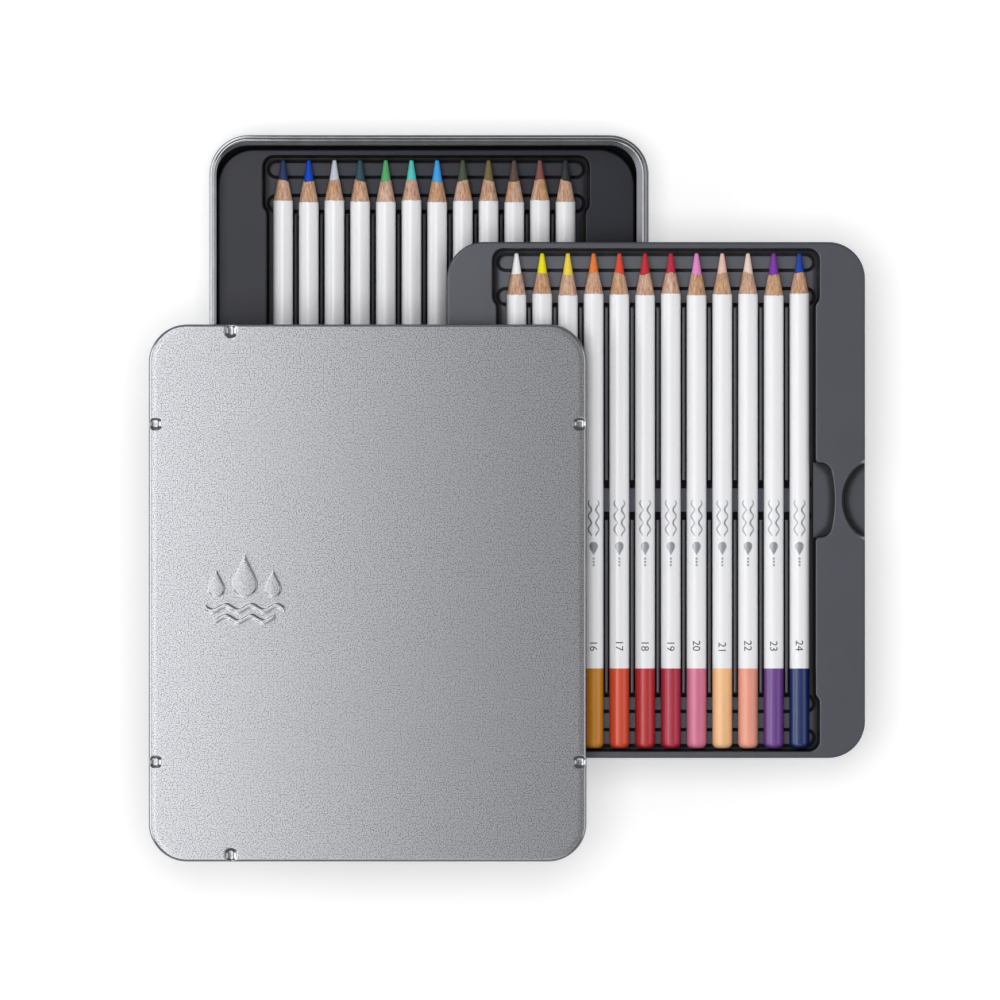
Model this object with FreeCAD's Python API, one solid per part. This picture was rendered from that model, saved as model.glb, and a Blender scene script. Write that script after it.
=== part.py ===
# Flat tin with two trays of watercolour pencils, laid out as three fanned layers:
# the base tin with the lower tray, the upper tray lying across its rim, the lid on top.
# Millimetres, +Z up, origin at the centre of the tin's underside, tips towards +Y.
import FreeCAD
import Part
import math
import os

os.makedirs("parts", exist_ok=True)
V = FreeCAD.Vector

# Pencils
PENCILS_PER_TRAY = 12
PENCIL_LENGTH = 175.0
PENCIL_DIAMETER = 7.1
WOOD_CONE_LENGTH = 7.3
LEAD_CONE_LENGTH = 7.3
LEAD_DIAMETER = 3.6
LEAD_TIP_DIAMETER = 1.7
GLUE_GAP = 0.05
WOOD_EDGE = 0.12
BUTT_RADIUS = 2.0
BUTT_COVER = 2.5

# Trays: a formed plastic sheet with a well for twelve pencils
TRAY_SHEET = 0.6
GROOVE_PLAY = 0.35
SEAT_GAP = 0.2
RIDGE_WIDTH = 1.29
ROW_SHIFT = 0.7
RIDGE_RISE = 0.6
RIDGE_CORE_WIDTH = 0.8
BED_LIFT = 0.15
CHANNEL_DEPTH = 1.2
CHANNEL_WIDTH = 1.25
CHANNEL_INSET = 0.5
BAR_WIDTH = 4.4
MIDDLE_BAR_WIDTH = 5.2
FINGER_BAR_WIDTH = 8.3
FINGER_CHANNEL_WIDTH = 2.9
PENCIL_COVER = 0.75
WALL_DRAFT = 0.9
WELL_SIDE_GAP = 2.05
END_GAP = 0.45
TROUGH_STEP = 1.4
STEP_RADIUS = 3.0
WELL_CORNER_RADIUS = 4.0
SIDE_MARGIN = 17.35
END_MARGIN = 2.3
TRAY_EDGE_RADIUS = 0.8
WELL_EDGE_RADIUS = 0.5
RECESS_LENGTH = 26.4
RECESS_EAR_RADIUS = 1.5
RECESS_STRAIGHT = 0.2
RECESS_CORNER_RADIUS = 4.0
RECESS_SIDE_RADIUS = 46.8
RECESS_DEPTH = 4.5
NOTCH_LENGTH = 28.8
NOTCH_LAND = 2.35
NOTCH_DEPTH = 7.0
NOTCH_DRAFT = 1.2

# Base tin: tinplate with a stepped wall and a curled rim
TIN_SHEET = 0.3
TRAY_PLAY = 1.2
CURL_DIAMETER = 1.8
CURL_SWEEP_DEGREES = 300.0
SHOULDER_STEP = 0.9
SHOULDER_HEIGHT = 10.0
SHOULDER_RADIUS = 0.35
TIN_CORNER_RADIUS = 14.0
TRAY_CORNER_EASE = 1.0
FOOT_RADIUS = 1.5
STACK_HEADROOM = 0.7

# Lid: tinplate with a hemmed skirt and edge dents that rest on the curl
LID_EDGE_RADIUS = 1.25
LID_SHOULDER_GAP = 0.3
HEM_HEIGHT = 2.0
DENT_DIAMETER = 4.2
DENT_LENGTH = 5.3
DENT_DEPTH = 1.2
SIDE_DENT_OFFSET = 59.6
END_DENT_OFFSET = 48.2

# Layout of the fanned layers
REST_GAP = 0.1
LOWER_TRAY_X = -1.0
LOWER_TRAY_Y = -1.0
UPPER_TRAY_X = 80.2
UPPER_TRAY_Y = -34.1
LID_FROM_TRAY_X = -101.8
LID_FROM_TRAY_Y = -32.8
PENCIL_SHIFT = -0.3

# Working lengths: how far cutting tools run past a face, and what counts as touching
OVERRUN = 2.0
TOUCH = 0.0001

# Sizes that follow from the ones above
pencil_radius = PENCIL_DIAMETER / 2
groove_radius = pencil_radius + GROOVE_PLAY
pitch = 2 * groove_radius + RIDGE_WIDTH
row_half = (PENCILS_PER_TRAY - 1) / 2 * pitch
row_start = ROW_SHIFT - row_half
row_end = ROW_SHIFT + row_half
floor_z = TRAY_SHEET + CHANNEL_DEPTH
groove_bottom = floor_z + BED_LIFT
groove_centre = groove_bottom + groove_radius
ridge_top = groove_centre + RIDGE_RISE
pencil_axis = groove_bottom + SEAT_GAP + pencil_radius
tray_height = pencil_axis + pencil_radius + PENCIL_COVER
recess_floor = tray_height - RECESS_DEPTH
notch_floor = tray_height - NOTCH_DEPTH

well_x = row_half + pencil_radius + WELL_SIDE_GAP + WALL_DRAFT
trough_x = well_x + TROUGH_STEP
well_y = PENCIL_LENGTH / 2 + END_GAP + WALL_DRAFT
foot_y = well_y - WALL_DRAFT
track_width = BAR_WIDTH + 2 * CHANNEL_WIDTH
trough_length = 2 * track_width + MIDDLE_BAR_WIDTH + 2 * CHANNEL_INSET
bed_y = foot_y - trough_length
finger_y = FINGER_BAR_WIDTH / 2 + FINGER_CHANNEL_WIDTH
recess_half = RECESS_LENGTH / 2
recess_centre_y = recess_half - RECESS_CORNER_RADIUS
recess_centre_x = well_x + RECESS_EAR_RADIUS + RECESS_STRAIGHT
recess_reach = RECESS_SIDE_RADIUS - math.sqrt(
    (RECESS_SIDE_RADIUS - RECESS_CORNER_RADIUS) ** 2 - recess_centre_y ** 2)
recess_x = recess_centre_x + recess_reach
tray_half_x = well_x + SIDE_MARGIN
tray_half_y = well_y + END_MARGIN
tray_corner = TIN_CORNER_RADIUS - TRAY_CORNER_EASE
notch_reach = tray_half_x - recess_x - NOTCH_LAND
notch_radius = ((NOTCH_LENGTH / 2) ** 2 + notch_reach ** 2) / (2 * notch_reach)
notch_centre_x = tray_half_x - notch_reach + notch_radius

rim_width = CURL_DIAMETER + SHOULDER_STEP
tin_half_x = tray_half_x + TRAY_PLAY + rim_width
tin_half_y = tray_half_y + TRAY_PLAY + rim_width
tin_height = TIN_SHEET + 2 * tray_height + STACK_HEADROOM
curl_radius = CURL_DIAMETER / 2
curl_z = tin_height - curl_radius
lid_depth = tin_height + DENT_DEPTH + TIN_SHEET - SHOULDER_HEIGHT - LID_SHOULDER_GAP

lower_tray_z = TIN_SHEET + REST_GAP
upper_tray_z = tin_height + REST_GAP
lid_x = UPPER_TRAY_X + LID_FROM_TRAY_X
lid_y = UPPER_TRAY_Y + LID_FROM_TRAY_Y
lid_z = upper_tray_z + tray_height + REST_GAP


def arc_edge(cx, cy, radius, start, end, z):
    """Arc in a level plane from one angle to another, in degrees."""
    middle = (start + end) / 2
    points = []
    for angle in (start, middle, end):
        turn = math.radians(angle)
        points.append(V(cx + radius * math.cos(turn), cy + radius * math.sin(turn), z))
    return Part.Arc(points[0], points[1], points[2]).toShape()


def joined(edges):
    """Closed wire from edges in order, with straight lines filling the gaps between them."""
    chain = []
    for edge, following in zip(edges, edges[1:] + edges[:1]):
        chain.append(edge)
        tail = edge.valueAt(edge.LastParameter)
        head = following.valueAt(following.FirstParameter)
        if tail.distanceToPoint(head) > TOUCH:
            chain.append(Part.makeLine(tail, head))
    return Part.Wire(chain)


def box_between(x0, x1, y0, y1, z0, z1):
    return Part.makeBox(x1 - x0, y1 - y0, z1 - z0, V(x0, y0, z0))


def rounded_wire(half_x, half_y, radius, z):
    """Rectangle with round corners about the Z axis."""
    cx = half_x - radius
    cy = half_y - radius
    return joined([
        arc_edge(cx, cy, radius, 90, 0, z),
        arc_edge(cx, -cy, radius, 0, -90, z),
        arc_edge(-cx, -cy, radius, -90, -180, z),
        arc_edge(-cx, cy, radius, 180, 90, z)])


def prism(wire, height):
    return Part.Face(wire).extrude(V(0, 0, height))


def edges_on(shape, wire):
    """Edges of a shape whose middle lies on a wire."""
    found = []
    for edge in shape.Edges:
        middle = edge.valueAt((edge.FirstParameter + edge.LastParameter) / 2)
        if wire.distToShape(Part.Vertex(middle))[0] < TOUCH:
            found.append(edge)
    return found


def level_edges(shape, z):
    """Edges of a shape that lie flat at one height."""
    found = []
    for edge in shape.Edges:
        points = [edge.valueAt(edge.FirstParameter), edge.valueAt(edge.LastParameter)]
        if all(abs(point.z - z) < TOUCH for point in points):
            found.append(edge)
    return found


def well_wire(inset, z):
    """Outline of the pencil well, moved inwards by an inset; all corners are smooth."""
    step_angle = math.degrees(math.acos(1 - TROUGH_STEP / (2 * STEP_RADIUS)))
    step_drop = 2 * STEP_RADIUS * math.sin(math.radians(step_angle))
    step_y = bed_y + step_drop
    side_x = recess_x - RECESS_SIDE_RADIUS
    bulge = math.degrees(math.atan2(recess_centre_y, recess_centre_x - side_x))
    corner_x = trough_x - WELL_CORNER_RADIUS
    corner_y = well_y - WELL_CORNER_RADIUS
    ear_x = well_x + RECESS_EAR_RADIUS
    ear_y = recess_half + RECESS_EAR_RADIUS
    shrunk = STEP_RADIUS - inset
    grown = STEP_RADIUS + inset
    corner = WELL_CORNER_RADIUS - inset
    ear = RECESS_EAR_RADIUS + inset
    cheek = RECESS_CORNER_RADIUS - inset
    side = RECESS_SIDE_RADIUS - inset
    back_right = [
        arc_edge(corner_x, corner_y, corner, 90, 0, z),
        arc_edge(trough_x - STEP_RADIUS, step_y, shrunk, 0, -step_angle, z),
        arc_edge(well_x + STEP_RADIUS, bed_y, grown, 180 - step_angle, 180, z),
        arc_edge(ear_x, ear_y, ear, 180, 270, z),
        arc_edge(recess_centre_x, recess_centre_y, cheek, 90, bulge, z)]
    front_right = [
        arc_edge(recess_centre_x, -recess_centre_y, cheek, -bulge, -90, z),
        arc_edge(ear_x, -ear_y, ear, 90, 180, z),
        arc_edge(well_x + STEP_RADIUS, -bed_y, grown, 180, 180 + step_angle, z),
        arc_edge(trough_x - STEP_RADIUS, -step_y, shrunk, step_angle, 0, z),
        arc_edge(corner_x, -corner_y, corner, 0, -90, z)]
    front_left = [
        arc_edge(-corner_x, -corner_y, corner, -90, -180, z),
        arc_edge(STEP_RADIUS - trough_x, -step_y, shrunk, 180, 180 - step_angle, z),
        arc_edge(-well_x - STEP_RADIUS, -bed_y, grown, -step_angle, 0, z),
        arc_edge(-ear_x, -ear_y, ear, 0, 90, z),
        arc_edge(-recess_centre_x, -recess_centre_y, cheek, -90, -180 + bulge, z)]
    back_left = [
        arc_edge(-recess_centre_x, recess_centre_y, cheek, 180 - bulge, 90, z),
        arc_edge(-ear_x, ear_y, ear, -90, 0, z),
        arc_edge(-well_x - STEP_RADIUS, bed_y, grown, 0, step_angle, z),
        arc_edge(STEP_RADIUS - trough_x, step_y, shrunk, 180 + step_angle, 180, z),
        arc_edge(-corner_x, corner_y, corner, 180, 90, z)]
    right_side = [arc_edge(side_x, 0, side, bulge, -bulge, z)]
    left_side = [arc_edge(-side_x, 0, side, 180 + bulge, 180 - bulge, z)]
    return joined(back_right + right_side + front_right + front_left + left_side + back_left)


def well_solid(grow):
    """Open space of the well, leaning walls and a flat floor, grown by a sheet or not."""
    top = well_wire(-grow, tray_height)
    bottom = well_wire(WALL_DRAFT - grow, floor_z - grow)
    return Part.makeLoft([top, bottom], True, True)


def groove_bed(y0, y1):
    """Ridges between the pencils over one stretch of the well."""
    half_ridge = RIDGE_WIDTH / 2
    rise_end = ridge_top - half_ridge
    edges = []
    for k in range(PENCILS_PER_TRAY - 1):
        left = row_start + k * pitch
        right = left + pitch
        flank = groove_radius * math.sqrt(2) / 2
        edges.append(Part.Arc(
            V(left, y0, groove_bottom),
            V(left + flank, y0, groove_centre - flank),
            V(left + groove_radius, y0, groove_centre)).toShape())
        edges.append(Part.Arc(
            V(left + groove_radius, y0, rise_end),
            V(left + pitch / 2, y0, ridge_top),
            V(right - groove_radius, y0, rise_end)).toShape())
        edges.append(Part.Arc(
            V(right - groove_radius, y0, groove_centre),
            V(right - flank, y0, groove_centre - flank),
            V(right, y0, groove_bottom)).toShape())
    edges.append(Part.makeLine(V(row_end, y0, 0), V(row_start, y0, 0)))
    return Part.Face(joined(edges)).extrude(V(0, y1 - y0, 0))


def ridge_cores(y0, y1):
    """Hollows under the ridges, one sheet away from the grooves."""
    reach = groove_radius + TRAY_SHEET
    half_top = RIDGE_CORE_WIDTH / 2
    half_base = pitch / 2 - pencil_radius / 2
    top_z = groove_centre - math.sqrt(reach ** 2 - (pitch / 2 - half_top) ** 2)
    base_z = groove_centre - math.sqrt(reach ** 2 - (pitch / 2 - half_base) ** 2)
    mean_x = (half_top + half_base) / 2
    mean_z = groove_centre - math.sqrt(reach ** 2 - (pitch / 2 - mean_x) ** 2)
    cores = []
    for k in range(PENCILS_PER_TRAY - 1):
        x = row_start + (k + 1 / 2) * pitch
        rise = Part.Arc(
            V(x - half_base, y0, base_z),
            V(x - mean_x, y0, mean_z),
            V(x - half_top, y0, top_z)).toShape()
        fall = Part.Arc(
            V(x + half_top, y0, top_z),
            V(x + mean_x, y0, mean_z),
            V(x + half_base, y0, base_z)).toShape()
        low = Part.makeLine(V(x + half_base, y0, -OVERRUN), V(x - half_base, y0, -OVERRUN))
        cores.append(Part.Face(joined([rise, fall, low])).extrude(V(0, y1 - y0, 0)))
    return cores


def stadium(half_x, half_y, y, z0, z1):
    """Bar with round ends across the tray."""
    run = half_x - half_y
    wire = joined([
        arc_edge(run, y, half_y, 90, -90, z0),
        arc_edge(-run, y, half_y, -90, -270, z0)])
    return prism(wire, z1 - z0)


def channel_solids(grow):
    """Narrow channels in the floors of the troughs, grown by a sheet or not."""
    z0 = TRAY_SHEET - grow
    z1 = floor_z + OVERRUN
    half_x = trough_x - WALL_DRAFT - CHANNEL_INSET
    first = foot_y - CHANNEL_INSET - track_width / 2
    second = first - track_width - MIDDLE_BAR_WIDTH
    found = []
    for y in (first, second, -first, -second):
        ring = stadium(half_x + grow, track_width / 2 + grow, y, z0, z1)
        bar = stadium(half_x - CHANNEL_WIDTH - grow, BAR_WIDTH / 2 - grow, y, z0 - OVERRUN, z1 + OVERRUN)
        found.append(ring.cut(bar))
    cross_x = well_x - WALL_DRAFT - CHANNEL_INSET
    for side in (1, -1):
        y = side * (finger_y - FINGER_CHANNEL_WIDTH / 2)
        found.append(stadium(cross_x + grow, FINGER_CHANNEL_WIDTH / 2 + grow, y, z0, z1))
    return found


def notch_solids(grow):
    """Finger notches in the two long edges, grown by a sheet or not."""
    found = []
    low = notch_floor - grow
    rise = tray_height - notch_floor
    slope = NOTCH_DRAFT / rise
    top = tray_height + OVERRUN
    small = notch_radius - NOTCH_DRAFT - slope * grow + grow
    large = notch_radius + slope * OVERRUN + grow
    for side in (1, -1):
        place = V(side * notch_centre_x, 0, low)
        found.append(Part.makeCone(small, large, top - low, place, V(0, 0, 1)))
    return found


def recess_blocks(inner_x, half, top_z, low_z):
    """Raised floors of the two finger recesses beside the outer pencils."""
    outer_x = recess_x + WALL_DRAFT
    return [
        box_between(inner_x, outer_x, -half, half, low_z, top_z),
        box_between(-outer_x, -inner_x, -half, half, low_z, top_z)]


def make_tray():
    block = prism(rounded_wire(tray_half_x, tray_half_y, tray_corner, 0), tray_height)
    body = block.cut(well_solid(0))
    body = body.makeFillet(WELL_EDGE_RADIUS, edges_on(body, well_wire(0, tray_height)))
    rim = rounded_wire(tray_half_x, tray_half_y, tray_corner, tray_height)
    body = body.makeFillet(TRAY_EDGE_RADIUS, edges_on(body, rim))
    shelf_x = well_x - WALL_DRAFT
    beds = [groove_bed(finger_y, bed_y), groove_bed(-bed_y, -finger_y)]
    body = body.fuse(beds + recess_blocks(shelf_x, recess_half, recess_floor, 0))
    body = body.cut(channel_solids(0) + notch_solids(0))
    cavity = prism(rounded_wire(
        tray_half_x - TRAY_SHEET, tray_half_y - TRAY_SHEET,
        tray_corner - TRAY_SHEET, -OVERRUN), tray_height - TRAY_SHEET + OVERRUN)
    kept = well_solid(TRAY_SHEET)
    hollows = recess_blocks(
        shelf_x + TRAY_SHEET, recess_half - WALL_DRAFT, recess_floor - TRAY_SHEET, -OVERRUN)
    hollows += ridge_cores(finger_y + TRAY_SHEET, bed_y - TRAY_SHEET)
    hollows += ridge_cores(TRAY_SHEET - bed_y, -finger_y - TRAY_SHEET)
    kept = kept.cut(hollows)
    cavity = cavity.cut([kept] + channel_solids(TRAY_SHEET) + notch_solids(TRAY_SHEET))
    return body.cut(cavity).removeSplitter()


def make_casing():
    """Wooden casing with the butt at y = 0 and the tip towards +Y."""
    bore = LEAD_DIAMETER / 2 + GLUE_GAP
    cone_end = PENCIL_LENGTH - LEAD_CONE_LENGTH
    cone_start = cone_end - WOOD_CONE_LENGTH
    turn = math.radians(-45)
    flat = pencil_radius - BUTT_RADIUS
    round_end = Part.Arc(
        V(flat, 0, 0),
        V(flat + BUTT_RADIUS * math.cos(turn), BUTT_RADIUS + BUTT_RADIUS * math.sin(turn), 0),
        V(pencil_radius, BUTT_RADIUS, 0)).toShape()
    points = [
        V(pencil_radius, BUTT_RADIUS, 0),
        V(pencil_radius, cone_start, 0),
        V(bore + WOOD_EDGE, cone_end, 0),
        V(bore, cone_end, 0),
        V(bore, BUTT_COVER, 0),
        V(0, BUTT_COVER, 0),
        V(0, 0, 0),
        V(flat, 0, 0)]
    edges = [Part.makeLine(a, b) for a, b in zip(points, points[1:])]
    return Part.Face(Part.Wire([round_end] + edges)).revolve(V(0, 0, 0), V(0, 1, 0), 360)


def make_lead():
    """Coloured lead from the blind end of the bore to the blunt tip."""
    radius = LEAD_DIAMETER / 2
    cone_end = PENCIL_LENGTH - LEAD_CONE_LENGTH
    points = [
        V(0, BUTT_COVER, 0),
        V(radius, BUTT_COVER, 0),
        V(radius, cone_end, 0),
        V(LEAD_TIP_DIAMETER / 2, PENCIL_LENGTH, 0),
        V(0, PENCIL_LENGTH, 0),
        V(0, BUTT_COVER, 0)]
    edges = [Part.makeLine(a, b) for a, b in zip(points, points[1:])]
    return Part.Face(Part.Wire(edges)).revolve(V(0, 0, 0), V(0, 1, 0), 360)


def make_curl():
    """Rolled rim, an open curl of sheet swept round the tin."""
    inset = SHOULDER_STEP + curl_radius
    inner = curl_radius - TIN_SHEET
    path_x = tin_half_x - inset
    path_y = tin_half_y - inset
    radius = TIN_CORNER_RADIUS - inset
    cx = path_x - radius
    cy = path_y - radius
    path = Part.Wire([
        Part.makeLine(V(-path_x, 0, curl_z), V(-path_x, cy, curl_z)),
        arc_edge(-cx, cy, radius, 180, 90, curl_z),
        Part.makeLine(V(-cx, path_y, curl_z), V(cx, path_y, curl_z)),
        arc_edge(cx, cy, radius, 90, 0, curl_z),
        Part.makeLine(V(path_x, cy, curl_z), V(path_x, -cy, curl_z)),
        arc_edge(cx, -cy, radius, 0, -90, curl_z),
        Part.makeLine(V(cx, -path_y, curl_z), V(-cx, -path_y, curl_z)),
        arc_edge(-cx, -cy, radius, -90, -180, curl_z),
        Part.makeLine(V(-path_x, -cy, curl_z), V(-path_x, 0, curl_z))])

    def on_section(radius_at, degrees):
        turn = math.radians(degrees)
        return V(radius_at * math.cos(turn) - path_x, 0, curl_z + radius_at * math.sin(turn))

    end = 180 - CURL_SWEEP_DEGREES
    middle = 180 - CURL_SWEEP_DEGREES / 2
    outside = Part.Arc(
        on_section(curl_radius, 180), on_section(curl_radius, middle), on_section(curl_radius, end))
    inside = Part.Arc(
        on_section(inner, end), on_section(inner, middle), on_section(inner, 180))
    section = Part.Wire([
        outside.toShape(),
        Part.makeLine(on_section(curl_radius, end), on_section(inner, end)),
        inside.toShape(),
        Part.makeLine(on_section(inner, 180), on_section(curl_radius, 180))])
    return path.makePipeShell([section], True, False)


def make_tin():
    lower = prism(rounded_wire(tin_half_x, tin_half_y, TIN_CORNER_RADIUS, 0), SHOULDER_HEIGHT)
    lower = lower.makeFillet(FOOT_RADIUS, level_edges(lower, 0))
    lower = lower.makeFillet(SHOULDER_RADIUS, level_edges(lower, SHOULDER_HEIGHT))
    upper = prism(rounded_wire(
        tin_half_x - SHOULDER_STEP, tin_half_y - SHOULDER_STEP,
        TIN_CORNER_RADIUS - SHOULDER_STEP, SHOULDER_HEIGHT / 2), curl_z - SHOULDER_HEIGHT / 2)
    inside = prism(rounded_wire(
        tin_half_x - TIN_SHEET, tin_half_y - TIN_SHEET,
        TIN_CORNER_RADIUS - TIN_SHEET, TIN_SHEET), SHOULDER_HEIGHT - 2 * TIN_SHEET)
    inside = inside.makeFillet(FOOT_RADIUS - TIN_SHEET, level_edges(inside, TIN_SHEET))
    mouth = prism(rounded_wire(
        tin_half_x - SHOULDER_STEP - TIN_SHEET, tin_half_y - SHOULDER_STEP - TIN_SHEET,
        TIN_CORNER_RADIUS - SHOULDER_STEP - TIN_SHEET, SHOULDER_HEIGHT / 2),
        tin_height - SHOULDER_HEIGHT / 2)
    cup = lower.fuse(upper).cut(inside.fuse(mouth))
    return cup.fuse(make_curl()).removeSplitter()


def dent_tools(grow):
    """Six finger-shaped dents in the lid's edge, two on each long side and one on each end."""
    radius = DENT_DIAMETER / 2
    height = lid_depth - DENT_DEPTH + radius
    places = []
    for y in (SIDE_DENT_OFFSET, -SIDE_DENT_OFFSET):
        places.append((V(tin_half_x, y, height), V(-1, 0, 0)))
        places.append((V(-tin_half_x, y, height), V(1, 0, 0)))
    places.append((V(-END_DENT_OFFSET, tin_half_y, height), V(0, -1, 0)))
    places.append((V(-END_DENT_OFFSET, -tin_half_y, height), V(0, 1, 0)))
    reach = DENT_LENGTH - radius
    found = []
    for place, inward in places:
        start = place - inward * OVERRUN
        bar = Part.makeCylinder(radius + grow, reach + OVERRUN, start, inward)
        tip = Part.makeSphere(radius + grow, place + inward * reach)
        found.append(bar.fuse(tip))
    return found


def make_lid():
    """Lid with its skirt's lower edge at z = 0 and the panel up."""
    outer = prism(rounded_wire(tin_half_x, tin_half_y, TIN_CORNER_RADIUS, 0), lid_depth)
    outer = outer.makeFillet(LID_EDGE_RADIUS, level_edges(outer, lid_depth))
    inner_top = lid_depth - TIN_SHEET
    inner = prism(rounded_wire(
        tin_half_x - TIN_SHEET, tin_half_y - TIN_SHEET,
        TIN_CORNER_RADIUS - TIN_SHEET, 0), inner_top)
    inner = inner.makeFillet(LID_EDGE_RADIUS - TIN_SHEET, level_edges(inner, inner_top))
    hem_outer = prism(rounded_wire(
        tin_half_x - TIN_SHEET, tin_half_y - TIN_SHEET, TIN_CORNER_RADIUS - TIN_SHEET, 0), HEM_HEIGHT)
    hem_inner = prism(rounded_wire(
        tin_half_x - 2 * TIN_SHEET, tin_half_y - 2 * TIN_SHEET,
        TIN_CORNER_RADIUS - 2 * TIN_SHEET, -OVERRUN), HEM_HEIGHT + 2 * OVERRUN)
    shell = outer.cut(inner).fuse(hem_outer.cut(hem_inner))
    walls = [tool.common(outer) for tool in dent_tools(TIN_SHEET)]
    return shell.fuse(walls).cut(dent_tools(0)).removeSplitter()


def export(shape, name, x, y, z):
    placed = shape.copy()
    placed.translate(V(x, y, z))
    placed.exportStep("parts/" + name + ".step")


export(make_tin(), "base_tin", 0, 0, 0)
tray = make_tray()
turned_tray = tray.copy()
turned_tray.rotate(V(0, 0, 0), V(0, 0, 1), 180)
export(turned_tray, "lower_tray", LOWER_TRAY_X, LOWER_TRAY_Y, lower_tray_z)
export(tray, "upper_tray", UPPER_TRAY_X, UPPER_TRAY_Y, upper_tray_z)
export(make_lid(), "lid", lid_x, lid_y, lid_z)

casing = make_casing()
lead = make_lead()
layers = [
    (1, LOWER_TRAY_X - row_end, LOWER_TRAY_Y, lower_tray_z),
    (1 + PENCILS_PER_TRAY, UPPER_TRAY_X + row_start, UPPER_TRAY_Y, upper_tray_z)]
for first, first_x, tray_y, tray_z in layers:
    for k in range(PENCILS_PER_TRAY):
        number = "pencil_%02d" % (first + k)
        x = first_x + k * pitch
        y = tray_y + PENCIL_SHIFT - PENCIL_LENGTH / 2
        z = tray_z + pencil_axis
        export(casing, number + "_casing", x, y, z)
        export(lead, number + "_lead", x, y, z)
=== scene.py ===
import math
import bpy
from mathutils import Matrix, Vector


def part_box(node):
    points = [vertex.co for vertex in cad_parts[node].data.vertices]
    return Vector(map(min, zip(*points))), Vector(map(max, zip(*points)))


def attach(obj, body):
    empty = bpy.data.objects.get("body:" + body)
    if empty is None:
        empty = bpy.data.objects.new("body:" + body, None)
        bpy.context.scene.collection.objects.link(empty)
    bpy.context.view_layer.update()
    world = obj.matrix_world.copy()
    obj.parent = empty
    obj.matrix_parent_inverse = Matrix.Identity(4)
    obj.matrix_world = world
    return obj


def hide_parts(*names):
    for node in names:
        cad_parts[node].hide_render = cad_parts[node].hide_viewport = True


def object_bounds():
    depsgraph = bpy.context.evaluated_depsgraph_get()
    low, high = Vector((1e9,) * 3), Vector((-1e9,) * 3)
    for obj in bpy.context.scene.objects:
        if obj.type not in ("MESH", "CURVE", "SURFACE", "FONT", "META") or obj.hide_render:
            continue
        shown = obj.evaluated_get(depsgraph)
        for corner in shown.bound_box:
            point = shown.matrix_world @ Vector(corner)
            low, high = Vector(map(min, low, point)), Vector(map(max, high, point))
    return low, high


bl_info = {
    "name": "Watercolour Pencil Set",
    "version": (1, 0, 0),
    "blender": (4, 5, 0),
    "location": "View3D > Sidebar > Pencil Set",
    "description": "Dresses the packed frame of a flat tin with two trays of watercolour pencils",
    "category": "Add Mesh",
}

from functools import partial

import bmesh
import bpy
import numpy as np
from mathutils import Vector
from mathutils.geometry import delaunay_2d_cdt

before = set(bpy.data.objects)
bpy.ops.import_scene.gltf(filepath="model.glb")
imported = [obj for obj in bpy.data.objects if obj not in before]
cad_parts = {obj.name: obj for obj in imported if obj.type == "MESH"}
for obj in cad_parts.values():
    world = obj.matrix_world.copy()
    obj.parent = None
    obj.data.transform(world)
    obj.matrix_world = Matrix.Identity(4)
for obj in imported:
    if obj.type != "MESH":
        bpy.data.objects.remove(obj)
CAD_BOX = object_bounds()

MM = 0.001
TIN_LOW, TIN_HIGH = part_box("base_tin")
LID_LOW, LID_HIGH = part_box("lid")
CASING_LOW, CASING_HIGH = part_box("pencil_01_casing")
LEAD_LOW, LEAD_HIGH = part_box("pencil_01_lead")
BARREL_DIAMETER = CASING_HIGH.x - CASING_LOW.x
LEAD_DIAMETER = LEAD_HIGH.x - LEAD_LOW.x

# Lead colour and dipped-end colour of each pencil, in the order they lie in the trays.
PENCIL_PALETTE = (
    ("navy", "2d3a66", "1d2a4d"),
    ("blue", "0047bc", "0a3f94"),
    ("light_grey", "ccd3df", "b9bec6"),
    ("petrol", "34505a", "24424f"),
    ("green", "57ad6c", "2f9a57"),
    ("turquoise", "55ccc4", "2fb0b0"),
    ("sky_blue", "3fa5ee", "2f93da"),
    ("olive_green", "485642", "3f4a34"),
    ("olive_brown", "77693f", "6b5a30"),
    ("brown", "5e4a43", "54402f"),
    ("brick", "85524e", "7f443e"),
    ("black", "303338", "1e1f22"),
    ("white", "f2f2f2", "f0efed"),
    ("lemon", "ecdf0a", "f0d81a"),
    ("yellow", "f0d248", "e9c23a"),
    ("orange", "e27a35", "c07f1a"),
    ("vermilion", "d94a34", "cf4524"),
    ("red", "bf2c34", "b32126"),
    ("carmine", "b92a41", "a61c37"),
    ("pink", "e48ac8", "cd6c8c"),
    ("peach", "e6bfb4", "edb983"),
    ("pale_pink", "ecd3cb", "e39680"),
    ("purple", "7d37a4", "653685"),
    ("royal_blue", "1d42a0", "042560"),
)
# The middle spread of a noise value, which most finishes carry to their full range.
NOISE_SPAN = (0.3, 0.7)
# Turned sections: how far rings crowd towards the ends, the turn of an end edge from one pencil to the
# next, and how far along the pencil the edge's wandering fades out.
CROWDING = 0.9
SEED_TURN = 2.4
WOBBLE_REACH = 2.5 * MM
# Stamped motif in millimetres: x, y, radius and point of each drop, level and reach of each wave.
MOTIF_DROPS = ((0.0, 3.2, 4.3, 2.3), (-10.0, 1.6, 2.8, 2.2), (10.0, 1.6, 2.8, 2.2))
MOTIF_WAVES = ((-5.4, 14.0), (-9.2, 10.5))
WAVE_SWING = 0.95
WAVE_LENGTH = 9.0
WAVE_HALF_WIDTH = 0.75
MOTIF_RAMP = 0.55
MOTIF_CROWN = 3.0
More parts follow.
